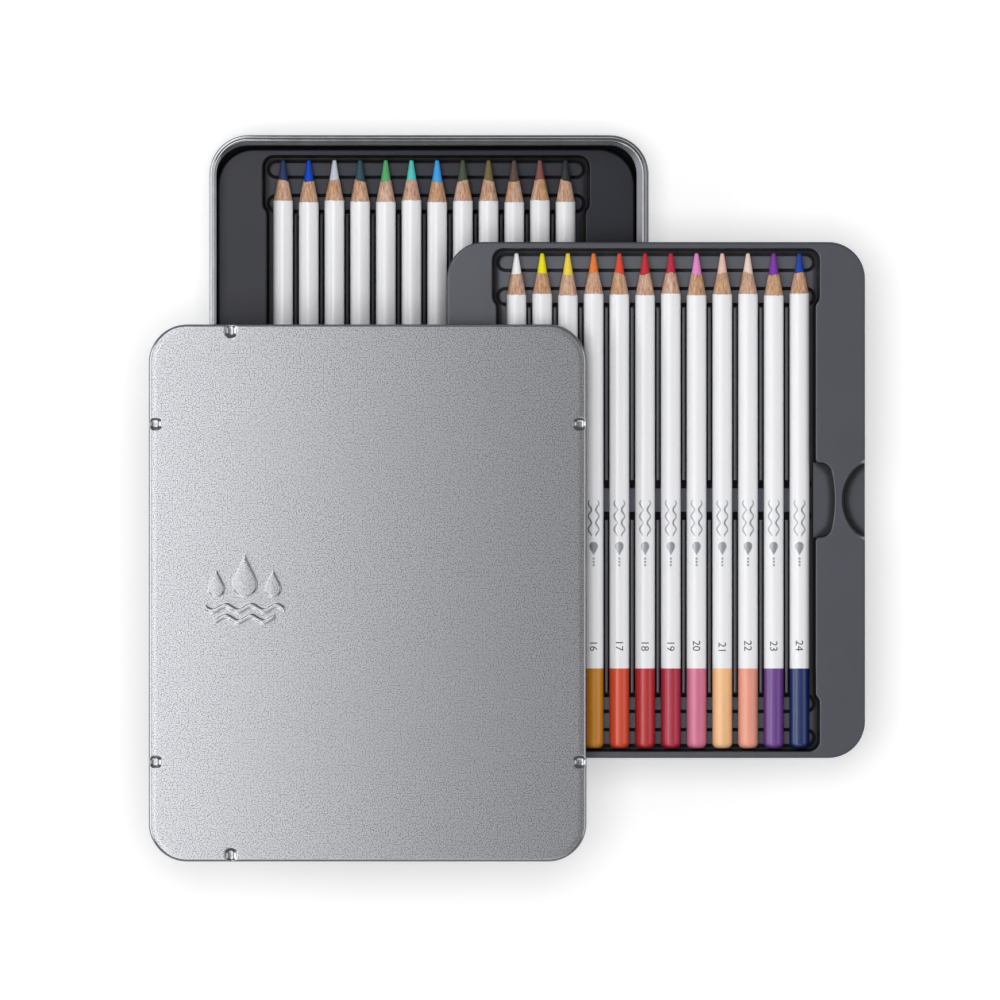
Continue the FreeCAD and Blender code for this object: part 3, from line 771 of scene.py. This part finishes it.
def edge_stations(half_x, half_y, corner, marks_x=(), marks_y=(), fine=MM, reach=0.0):
    """Points round a rectangle with round corners: x, y and the outward direction of each."""
    side_points = 13
    corner_points = 19
    digits = 7

    def spread(half, marks):
        places = set(np.linspace(-half, half, side_points).round(digits))
        for mark in marks:
            for step in np.arange(-reach, reach + fine / 2, fine):
                places.add(round(mark + step, digits))
        return np.array(sorted(places))

    run_x = half_x - corner
    run_y = half_y - corner
    ups = spread(run_y, marks_y)
    acrosses = spread(run_x, marks_x)
    turns = np.radians(np.linspace(0, 90, corner_points))[1:-1]
    sides = (
        ([(half_x, y, 1.0, 0.0) for y in ups], run_x, run_y),
        ([(x, half_y, 0.0, 1.0) for x in acrosses[::-1]], -run_x, run_y),
        ([(-half_x, y, -1.0, 0.0) for y in ups[::-1]], -run_x, -run_y),
        ([(x, -half_y, 0.0, -1.0) for x in acrosses], run_x, -run_y))
    found = []
    for quarter, (side, x, y) in enumerate(sides):
        found += side
        for turn in turns + quarter * math.pi / 2:
            out_x = math.cos(turn)
            out_y = math.sin(turn)
            found.append((x + corner * out_x, y + corner * out_y, out_x, out_y))
    return np.array(found)


def ring_points(stations, inset, z):
    """One closed ring, moved inwards by an inset, at one height."""
    count = len(stations)
    xy = stations[:, :2] - stations[:, 2:] * np.broadcast_to(inset, count)[:, None]
    return np.column_stack([xy, np.broadcast_to(z, count)])


def arc(centre_d, centre_z, radius, start, end, count):
    """Profile points on an arc, in degrees; 180 points outwards and 90 up."""
    turns = np.radians(np.linspace(start, end, count))
    return [(centre_d + radius * math.cos(t), centre_z + radius * math.sin(t)) for t in turns]


def loft_faces(rings, count):
    """Quads between successive rings of a loft."""
    faces = []
    for ring in range(rings - 1):
        low = ring * count
        for k in range(count):
            following = (k + 1) % count
            faces.append((low + k, low + following, low + count + following, low + count + k))
    return faces


def shell_mesh(name, points, faces, skins):
    """Closed sheet-metal mesh with its faces turned outwards."""
    mesh = bpy.data.meshes.new(name)
    mesh.from_pydata([tuple(p) for p in points], [], faces)
    shell = bmesh.new()
    shell.from_mesh(mesh)
    bmesh.ops.remove_doubles(shell, verts=shell.verts, dist=0.002 * MM)
    bmesh.ops.recalc_face_normals(shell, faces=shell.faces)
    if any(not edge.is_manifold for edge in shell.edges):
        raise RuntimeError(name + " isn't closed")
    shell.to_mesh(mesh)
    shell.free()
    for material in skins:
        mesh.materials.append(material)
    return softened(mesh, degrees=40)


def sheet_profile(middle, thickness):
    """The two faces of a bent sheet from its middle line."""
    line, side = sideways(middle, thickness / 2)
    return line + side, line - side


def underside(low, high):
    """Middle of the underside of a box."""
    return np.array([(low.x + high.x) / 2, (low.y + high.y) / 2, low.z])


def tin_mesh(sizes, skins):
    """Tin with a rounded foot, a stepped wall, a rolled rim and its slope into the tin."""
    half_x = (TIN_HIGH.x - TIN_LOW.x) / 2
    half_y = (TIN_HIGH.y - TIN_LOW.y) / 2
    height = TIN_HIGH.z - TIN_LOW.z
    half = sizes.sheet / 2
    roll = sizes.curl / 2
    bend = 0.35 * MM
    tip = 0.3 * MM
    tip_end = -115
    slope = 35
    turned = 90 - slope
    pitch = math.tan(math.radians(slope))
    stations = edge_stations(half_x, half_y, sizes.corner)
    step_d = sizes.step + half
    middle = [(sizes.corner - MM, half), (sizes.corner / 2, half)]
    middle += arc(sizes.foot, sizes.foot, sizes.foot - half, 270, 180, 9)
    middle += [(half, sizes.shoulder / 2)]
    middle += arc(half + bend, sizes.shoulder - half - bend, bend, 180, 90, 6)
    middle += arc(step_d - bend, sizes.shoulder - half + bend, bend, 270, 360, 6)
    middle += [(step_d, (sizes.shoulder + height) / 2)]
    middle += arc(sizes.step + roll, height - roll, roll - half, 180, turned, 16)
    slope_d, slope_z = middle[-1]
    steps = [0.25, 0.5, 0.75]
    parts = [0.0] * len(middle) + steps
    middle += [(slope_d + sizes.lip * part, slope_z - sizes.lip * pitch * part) for part in steps]
    tip_d = slope_d + sizes.lip - tip * math.cos(math.radians(turned))
    tip_z = slope_z - sizes.lip * pitch - tip * math.sin(math.radians(turned))
    middle += arc(tip_d, tip_z, tip, turned, tip_end, 14)
    parts += [1.0] * (len(middle) - len(parts))
    inner, outer = sheet_profile(middle, sizes.sheet)
    profile = list(outer) + list(inner)[::-1]
    # The slope is wider or narrower from side to side, and changes over round the corners.
    lips = np.where(stations[:, 2] > 0, sizes.lip_right, sizes.lip_near) * stations[:, 2] ** 2
    lips += np.where(stations[:, 3] > 0, sizes.lip, sizes.lip_near) * stations[:, 3] ** 2
    wider = lips - sizes.lip
    points = np.concatenate([
        ring_points(stations, d + wider * part, z - wider * pitch * part)
        for (d, z), part in zip(profile, parts + parts[::-1])])
    points += underside(TIN_LOW, TIN_HIGH)
    count = len(stations)
    faces = loft_faces(len(profile), count)
    faces += [tuple(range(count)), tuple(range(len(points) - count, len(points)))]
    mesh = shell_mesh("tin_shell", points, faces, skins)
    # Faces that look into the tin below the rim, and its floor, take a near-black painted shade; the slope
    # into the tin takes a rougher tinplate painted darker as shade.
    rim_z = TIN_HIGH.z - sizes.curl
    slope_top = TIN_LOW.z + slope_z
    for face in mesh.polygons:
        inward = -(face.center.x * face.normal.x + face.center.y * face.normal.y)
        floor = face.normal.z > 0.5 and face.center.z < sizes.foot
        if floor or (inward > 0 and face.center.z < rim_z):
            face.material_index = 1
        elif inward > 0 and face.center.z < slope_top:
            face.material_index = 2
    return mesh


def drop_distance(x, y, radius, point):
    """Signed distance to a water drop with its point up, in the units of x and y."""
    lean = math.asin(1 / point)
    ball = np.hypot(x, y) - radius
    flank = np.abs(x) * math.cos(lean) + y * math.sin(lean) - radius
    cone = np.maximum(flank, radius * math.sin(lean) - y)
    return np.minimum(ball, cone)


def motif_relief(x, y):
    """Height share of the stamped motif, three drops over two wave lines; x and y in millimetres."""
    shapes = [
        drop_distance(x - drop_x, y - drop_y, radius, point)
        for drop_x, drop_y, radius, point in MOTIF_DROPS]
    for level, reach in MOTIF_WAVES:
        crest = level + WAVE_SWING * np.sin(x * math.tau / WAVE_LENGTH)
        shapes.append(np.maximum(np.abs(y - crest) - WAVE_HALF_WIDTH, np.abs(x) - reach))
    distance = np.minimum.reduce(shapes)
    rise = np.clip(0.5 - distance / MOTIF_RAMP, 0.0, 1.0)
    crown = np.clip(-distance / MOTIF_CROWN, 0.0, 1.0)
    flank = 0.8
    return rise * rise * (3 - 2 * rise) * (flank + (1 - flank) * crown)


def lid_dents(sizes, half_x, half_y):
    """Middle of each dent on the lid's edge and the direction inwards."""
    found = []
    for y in (sizes.side_dent, -sizes.side_dent):
        found += [((half_x, y), (-1.0, 0.0)), ((-half_x, y), (1.0, 0.0))]
    for side in (1.0, -1.0):
        found.append(((-sizes.end_dent, side * half_y), (0.0, -side)))
    return found


def dented(points, sizes, top, dents, drop):
    """Presses the dents into a skin of the lid; drop is how far the skin lies below the outer one."""
    radius = sizes.dent_diameter / 2
    ease = 0.3 * MM
    mouth_reach = 0.35 * sizes.dent_length
    mouth_rise = 0.75 * sizes.dent_depth
    axis_z = top - sizes.dent_depth + radius
    for (x, y), (in_x, in_y) in dents:
        run = (points[:, 0] - x) * in_x + (points[:, 1] - y) * in_y
        off = (points[:, 0] - x) * in_y - (points[:, 1] - y) * in_x
        past = np.maximum(run - (sizes.dent_length - radius), 0.0)
        square = radius ** 2 - off ** 2 - past ** 2
        mouth = mouth_rise * np.clip(1 - run / mouth_reach, 0.0, 1.0) ** 2
        floor = axis_z - np.sqrt(np.maximum(square, 0.0)) - drop + mouth
        floor = np.where(square > 0, floor, axis_z + np.hypot(off, past) - drop)
        gap = np.clip(0.5 + 0.5 * (floor - points[:, 2]) / ease, 0.0, 1.0)
        smooth = floor * (1 - gap) + points[:, 2] * gap - ease * gap * (1 - gap)
        near = (run < 2 * sizes.dent_length) & (np.abs(off) < 2 * sizes.dent_diameter) & (
            points[:, 2] > top - 2 * sizes.dent_depth)
        points[:, 2] = np.where(near, smooth, points[:, 2])
    return points


def lid_profile(sizes, top):
    """Outer and inner line of the lid, from the panel over the fold to the hem and back."""
    sheet = sizes.sheet
    edge = sizes.lid_edge
    lean = 10
    turned = 90 - lean
    fold_d = edge + edge * math.cos(math.radians(turned))
    fold_z = top - sizes.lid_crown - edge * math.sin(math.radians(turned))
    ease = 2 * sizes.lid_crown / math.tan(math.radians(lean))
    flat_insets = (9.0, 7.2)
    fold_insets = np.arange(6.4, 1.6, -0.3)
    insets = np.concatenate([flat_insets, fold_insets]) * MM
    panel = [(d, top - sizes.lid_crown * max(0.0, (fold_d + ease - d) / ease) ** 2) for d in insets]
    skirt_step = 0.5 * MM
    skirt = [top - edge - k * skirt_step for k in range(1, 5)]
    hem_round = 0.1 * MM
    hem_above = 0.6 * MM
    outer = panel + arc(edge, fold_z, edge, turned, 180, 13)
    outer += [(0.0, z) for z in skirt + [sizes.hem + hem_above, sizes.hem]]
    outer += arc(sheet, sheet, sheet, 180, 360, 9)
    inner = [(2 * sheet, sizes.hem - hem_round), (1.7 * sheet, sizes.hem), (sheet, sizes.hem + hem_round)]
    inner += [(sheet, z) for z in skirt[::-1]]
    inner += arc(edge, fold_z, edge - sheet, 180, turned, 13)
    inner += [(d, z - sheet) for d, z in panel[::-1]]
    return outer, inner


def motif_patch(sizes):
    """Fine grid that holds the stamped motif: x, y, height, and the cells along its border in order."""
    fine = 0.25
    half_width = 17.0
    below = 13.0
    above = 15.0
    across = np.arange(-half_width, half_width + fine / 2, fine)
    up = np.arange(-below, above + fine / 2, fine)
    x, y = np.meshgrid(across, up)
    last_c = len(across) - 1
    last_r = len(up) - 1
    rim = [(0, c) for c in range(last_c + 1)] + [(r, last_c) for r in range(1, last_r + 1)]
    rim += [(last_r, c) for c in range(last_c - 1, -1, -1)] + [(r, 0) for r in range(last_r - 1, 0, -1)]
    return x * MM - sizes.motif_inset, y * MM, motif_relief(x, y) * sizes.motif_height, rim


def lid_mesh(sizes, skins):
    """Lid with a folded edge, a turned hem, six pressed dents and a stamped motif."""
    half_x = (LID_HIGH.x - LID_LOW.x) / 2 - sizes.lid_inset
    half_y = (LID_HIGH.y - LID_LOW.y) / 2 - sizes.lid_inset / 2
    top = LID_HIGH.z - LID_LOW.z
    fine = 0.25 * MM
    beside_dent = 3.5 * MM
    dents = lid_dents(sizes, half_x, half_y)
    stations = edge_stations(
        half_x, half_y, sizes.lid_corner, (-sizes.end_dent,), (-sizes.side_dent, sizes.side_dent),
        fine, beside_dent)
    count = len(stations)
    outer, inner = lid_profile(sizes, top)
    points = []
    for line, drop in ((outer, 0.0), (inner, sizes.sheet)):
        rings = np.concatenate([ring_points(stations, d, z) for d, z in line])
        points.append(dented(rings, sizes, top, dents, drop))
    faces = loft_faces(len(outer) + len(inner), count)
    used = sum(len(wall) for wall in points)
    # The panel is filled round the patch, once for each side of the sheet.
    grid_x, grid_y, lift, rim = motif_patch(sizes)
    rows, columns = grid_x.shape
    border = [(p[0], p[1]) for p in ring_points(stations, outer[0][0], 0.0)]
    border += [(grid_x[r, c], grid_y[r, c]) for r, c in rim]
    loops = [(k, (k + 1) % count) for k in range(count)]
    loops += [(count + k, count + (k + 1) % len(rim)) for k in range(len(rim))]
    filled = delaunay_2d_cdt([Vector(p) / MM for p in border], loops, [], 0, 1e-5)
    panel_xy = np.array([tuple(p) for p in filled[0]]) * MM
    panel = []
    for face in filled[2]:
        x, y = panel_xy[list(face)].mean(axis=0)
        if not (grid_x.min() < x < grid_x.max() and grid_y.min() < y < grid_y.max()):
            panel.append(face)
    for z in (top, top - sizes.sheet):
        points.append(np.column_stack([panel_xy, np.full(len(panel_xy), z)]))
        faces += [tuple(used + k for k in face) for face in panel]
        used += len(panel_xy)
        points.append(np.column_stack([grid_x.ravel(), grid_y.ravel(), z + lift.ravel()]))
        for r in range(rows - 1):
            start = used + r * columns
            faces += [
                (start + c, start + c + 1, start + columns + c + 1, start + columns + c)
                for c in range(columns - 1)]
        used += columns * rows
    everything = np.concatenate(points) + underside(LID_LOW, LID_HIGH)
    return shell_mesh("lid_shell", everything, faces, skins)


class PENCILSET_OT_tin(bpy.types.Operator):
    """Make the tin and its rolled rim"""
    bl_idname = "pencil_set.tin"
    bl_label = "Tin"

    def execute(self, context):
        scene = context.scene
        finishes = scene.pencil_set_finishes
        skins = (
            drawn_tin_finish("bright_tinplate", finishes.bright_tin, roughness=0.12),
            # Below the rim the tin's inside is painted near-black as shade.
            inner_painted_shade_finish(finishes.inner_lacquer),
            # The slope into the tin is a rougher tinplate painted darker as shade.
            drawn_tin_finish("dull_tinplate", finishes.dull_tin, roughness=0.4))
        placed("tin_shell", tin_mesh(scene.pencil_set_tin, skins), "tin", "tinplate", "base_tin")
        return {"FINISHED"}


class PENCILSET_OT_lid(bpy.types.Operator):
    """Make the lid with its dents and stamped motif"""
    bl_idname = "pencil_set.lid"
    bl_label = "Lid"

    def execute(self, context):
        scene = context.scene
        skins = (satin_tin_finish(scene.pencil_set_finishes.satin_tin),)
        placed("lid_shell", lid_mesh(scene.pencil_set_tin, skins), "lid", "tinplate", "lid")
        return {"FINISHED"}


class PENCILSET_OT_trays(bpy.types.Operator):
    """Give the two trays their plastic"""
    bl_idname = "pencil_set.trays"
    bl_label = "Trays"

    def execute(self, context):
        scene = context.scene
        finishes = scene.pencil_set_finishes
        # The lower tray's plastic is painted darker as shade.
        for node, colour, gloss in (
                ("lower_tray", finishes.lower_plastic, finishes.lower_gloss),
                ("upper_tray", finishes.upper_plastic, finishes.upper_gloss)):
            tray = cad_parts[node]
            tray.data.materials.clear()
            floor_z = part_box(node)[0].z + scene.pencil_set_tin.tray_floor
            tray.data.materials.append(plastic_finish(node + "_plastic", colour, gloss, floor_z))
        return {"FINISHED"}


class PENCILSET_OT_casings(bpy.types.Operator):
    """Turn the lacquered barrels, the bare wood and the dipped ends"""
    bl_idname = "pencil_set.casings"
    bl_label = "Barrels, wood and dipped ends"

    def execute(self, context):
        scene = context.scene
        sizes = scene.pencil_set_pencils
        finishes = scene.pencil_set_finishes
        lacquer = lacquer_finish(finishes.lacquer)
        wood = wood_finish(finishes.wood_dark, finishes.wood_light, finishes.wood_pale)
        tree = turned_section_tree()
        radius = sizes.barrel_diameter / 2
        tuck = 0.6 * MM
        overlap = 0.12 * MM
        barrel_radius = radius - sizes.lacquer / 2
        edge_waves = 1400.0
        lead_waves = 380.0
        lead_slope = 0.18
        for number, body, slot, axis, butt, tip in pencils():
            dip = dip_finish(slot + "_dip", getattr(scene.pencil_set_dips, slot))
            dip_end = butt + sizes.dip_length
            wood_end = tip - sizes.lead_cone
            wood_start = wood_end - sizes.wood_cone + sizes.sharpening_play * math.sin(SEED_TURN * number)
            common = {
                "Axis": axis, "Sides": sizes.sides, "Seed": float(number), "Wobble reach": WOBBLE_REACH}
            turned_piece(tree, body, "barrel", "lacquered_wood", {
                **common, "Start": dip_end - tuck, "End": wood_start,
                "Start radius": barrel_radius, "End radius": barrel_radius,
                "End wobble": sizes.edge_wobble, "Wobble scale": edge_waves,
                "Rings": 24, "Material": lacquer}, body + "_casing")
            turned_piece(tree, body, "wood", "lacquered_wood", {
                **common, "Start": wood_start - tuck, "End": wood_end,
                "Start radius": radius - sizes.lacquer,
                "End radius": sizes.lead_diameter / 2 + overlap,
                "End wobble": sizes.lead_wobble, "Wobble scale": lead_waves, "End slant": sizes.lead_wobble,
                "End slope": lead_slope, "Rings": 32, "Material": wood})
            turned_piece(tree, body, "dip", slot, {
                **common, "Start": butt, "End": dip_end, "Start radius": radius, "End radius": radius,
                "Start rounding": sizes.butt_round, "End rounding": sizes.lacquer / 2,
                "Rings": 40, "Material": dip})
        return {"FINISHED"}


class PENCILSET_OT_leads(bpy.types.Operator):
    """Turn the sharpened leads"""
    bl_idname = "pencil_set.leads"
    bl_label = "Leads"

    def execute(self, context):
        scene = context.scene
        sizes = scene.pencil_set_pencils
        tree = bpy.data.node_groups.get("Turned section") or turned_section_tree()
        tuck = 1.4 * MM
        taper = (sizes.lead_diameter - sizes.tip_diameter) / 2 / sizes.lead_cone
        for number, body, slot, axis, butt, tip in pencils():
            lead = lead_finish(slot + "_lead", getattr(scene.pencil_set_leads, slot))
            turned_piece(tree, body, "tip", slot, {
                "Axis": axis, "Sides": sizes.sides, "Seed": float(number), "Wobble reach": WOBBLE_REACH,
                "Start": tip - sizes.lead_cone - tuck, "End": tip,
                "Start radius": sizes.lead_diameter / 2 + taper * tuck,
                "End radius": sizes.tip_diameter / 2,
                "End rounding": sizes.tip_round, "Rings": 24, "Material": lead}, body + "_lead")
        return {"FINISHED"}


class PENCILSET_OT_prints(bpy.types.Operator):
    """Print a plain number and a foil ornament on each barrel"""
    bl_idname = "pencil_set.prints"
    bl_label = "Prints"

    def execute(self, context):
        scene = context.scene
        sizes = scene.pencil_set_prints
        pencil = scene.pencil_set_pencils
        finishes = scene.pencil_set_finishes
        ink = ink_finish("number_ink", finishes.number_ink, metallic=0.0)
        foil = ink_finish("ornament_foil", finishes.ornament_foil, metallic=0.6)
        radius = pencil.barrel_diameter / 2 - pencil.lacquer / 2
        for number, body, slot, axis, butt, tip in pencils():
            digits = number_outline("%02d" % number, sizes.number_height)
            reach = max(vert.co.x for vert in digits.verts)
            number_start = butt + pencil.dip_length + sizes.number_gap + reach
            ornament = ornament_outline(sizes.ornament_length, sizes.ornament_width)
            ornament_start = butt + sizes.ornament_start + sizes.ornament_length
            for part, flat, start, material in (
                    ("_number", digits, number_start, ink), ("_ornament", ornament, ornament_start, foil)):
                mesh = wrapped(flat, body + part, axis, start, radius, sizes.film, material)
                placed(body + part, mesh, body, "lacquered_wood")
        return {"FINISHED"}


class PENCILSET_OT_stage(bpy.types.Operator):
    """Set the floor, the lamps and the camera"""
    bl_idname = "pencil_set.stage"
    bl_label = "Stage"

    def execute(self, context):
        scene = context.scene
        stage = scene.pencil_set_stage
        scene.view_settings.view_transform = "Standard"
        self.add_floor(stage)
        self.light_world(scene, stage)
        for name, power, place, size, aim, hidden in LAMPS:
            lamp = self.add_lamp(name, getattr(stage, power), place, size, aim)
            if hidden:
                setattr(lamp, "visible_" + hidden, False)
        camera = linked("camera", bpy.data.cameras.new("camera"))
        camera.data.lens = stage.lens
        distance = stage.view_width * stage.lens / camera.data.sensor_width
        camera.location = (*VIEW_CENTRE, distance + (CAD_BOX[0].z + CAD_BOX[1].z) / 2)
        camera.data.clip_end = 10 * distance
        scene.camera = camera
        return {"FINISHED"}

    def add_floor(self, stage):
        half = 4.0
        level = -0.1 * MM
        glow_strength = 0.38
        mesh = bpy.data.meshes.new("floor")
        signs = ((-1, -1), (1, -1), (1, 1), (-1, 1))
        mesh.from_pydata([(half * x, half * y, level) for x, y in signs], [], [(0, 1, 2, 3)])
        floor = linked("floor", mesh)
        material = bpy.data.materials.new("white_floor")
        material.use_nodes = True
        tree = material.node_tree
        tree.nodes.clear()
        place = add_node(tree, "ShaderNodeTexCoord").outputs["Object"]
        paper = add_node(tree, "ShaderNodeTexNoise", {"Vector": place, "Scale": 900.0}).outputs["Fac"]
        matt = add_node(tree, "ShaderNodeBsdfDiffuse", {
            "Color": blend(tree, paper, tinted(stage.floor, 0.99), tinted(stage.floor, 1.0))})
        shade = add_node(tree, "ShaderNodeBsdfDiffuse", {"Color": tinted(stage.floor, 0.95)})
        glow = add_node(tree, "ShaderNodeEmission", {
            "Color": (1.0, 1.0, 1.0, 1.0), "Strength": glow_strength})
        seen = add_node(tree, "ShaderNodeAddShader", {0: shade.outputs[0], 1: glow.outputs[0]})
        rays = add_node(tree, "ShaderNodeLightPath").outputs
        direct = sums(tree, "MAXIMUM", rays["Is Camera Ray"], sums(
            tree, "MAXIMUM", rays["Is Glossy Ray"], rays["Is Transmission Ray"]))
        both = add_node(tree, "ShaderNodeMixShader", {0: direct, 1: matt.outputs[0], 2: seen.outputs[0]})
        add_node(tree, "ShaderNodeOutputMaterial", {"Surface": both.outputs[0]})
        mesh.materials.append(material)

    def light_world(self, scene, stage):
        world = bpy.data.worlds.new("studio")
        world.use_nodes = True
        tree = world.node_tree
        tree.nodes.clear()
        toward = add_node(tree, "ShaderNodeTexCoord").outputs["Generated"]
        rise = add_node(tree, "ShaderNodeSeparateXYZ", {"Vector": toward}).outputs["Z"]
        dim_below = 0.55
        bright_above = 0.95
        strength = ranged(tree, rise, stage.horizon, stage.zenith, dim_below, bright_above)
        sky = add_node(tree, "ShaderNodeBackground", {"Color": (1.0, 1.0, 1.0, 1.0), "Strength": strength})
        add_node(tree, "ShaderNodeOutputWorld", {"Surface": sky.outputs[0]})
        scene.world = world

    def add_lamp(self, name, power, place, size, aim):
        light = bpy.data.lights.new(name, "AREA")
        light.shape = "RECTANGLE"
        light.energy = power
        light.size, light.size_y = size
        lamp = linked(name, light)
        lamp.location = place
        lean = math.atan2(aim[1] - place[1], place[2])
        lamp.rotation_euler = (lean, math.atan2(place[0] - aim[0], place[2]), 0.0)
        lamp.visible_camera = False
        return lamp


SETTINGS = (
    ("pencil_set_pencils", PencilSizes),
    ("pencil_set_leads", PencilLeads),
    ("pencil_set_dips", PencilDips),
    ("pencil_set_prints", PrintSizes),
    ("pencil_set_tin", TinSizes),
    ("pencil_set_finishes", Finishes),
    ("pencil_set_stage", StageSettings),
)
OPERATORS = (
    PENCILSET_OT_tin,
    PENCILSET_OT_trays,
    PENCILSET_OT_casings,
    PENCILSET_OT_leads,
    PENCILSET_OT_prints,
    PENCILSET_OT_lid,
    PENCILSET_OT_stage,
)


class PENCILSET_PT_panel(bpy.types.Panel):
    """Lists the steps and settings of the pencil set"""
    bl_label = "Pencil Set"
    bl_idname = "PENCILSET_PT_panel"
    bl_space_type = "VIEW_3D"
    bl_region_type = "UI"
    bl_category = "Pencil Set"

    def draw(self, context):
        for operator in OPERATORS:
            self.layout.operator(operator.bl_idname)
        for holder, group in SETTINGS:
            box = self.layout.box()
            box.label(text=group.__doc__)
            for key in group.__annotations__:
                box.prop(getattr(context.scene, holder), key)


def register():
    for holder, group in SETTINGS:
        bpy.utils.register_class(group)
        setattr(bpy.types.Scene, holder, bpy.props.PointerProperty(type=group))
    for cls in OPERATORS + (PENCILSET_PT_panel,):
        bpy.utils.register_class(cls)


def unregister():
    for cls in (PENCILSET_PT_panel,) + OPERATORS[::-1]:
        bpy.utils.unregister_class(cls)
    for holder, group in SETTINGS[::-1]:
        delattr(bpy.types.Scene, holder)
        bpy.utils.unregister_class(group)


def main():
    register()
    for operator in OPERATORS:
        group, name = operator.bl_idname.split(".")
        getattr(getattr(bpy.ops, group), name)()


if __name__ == "__main__":
    main()
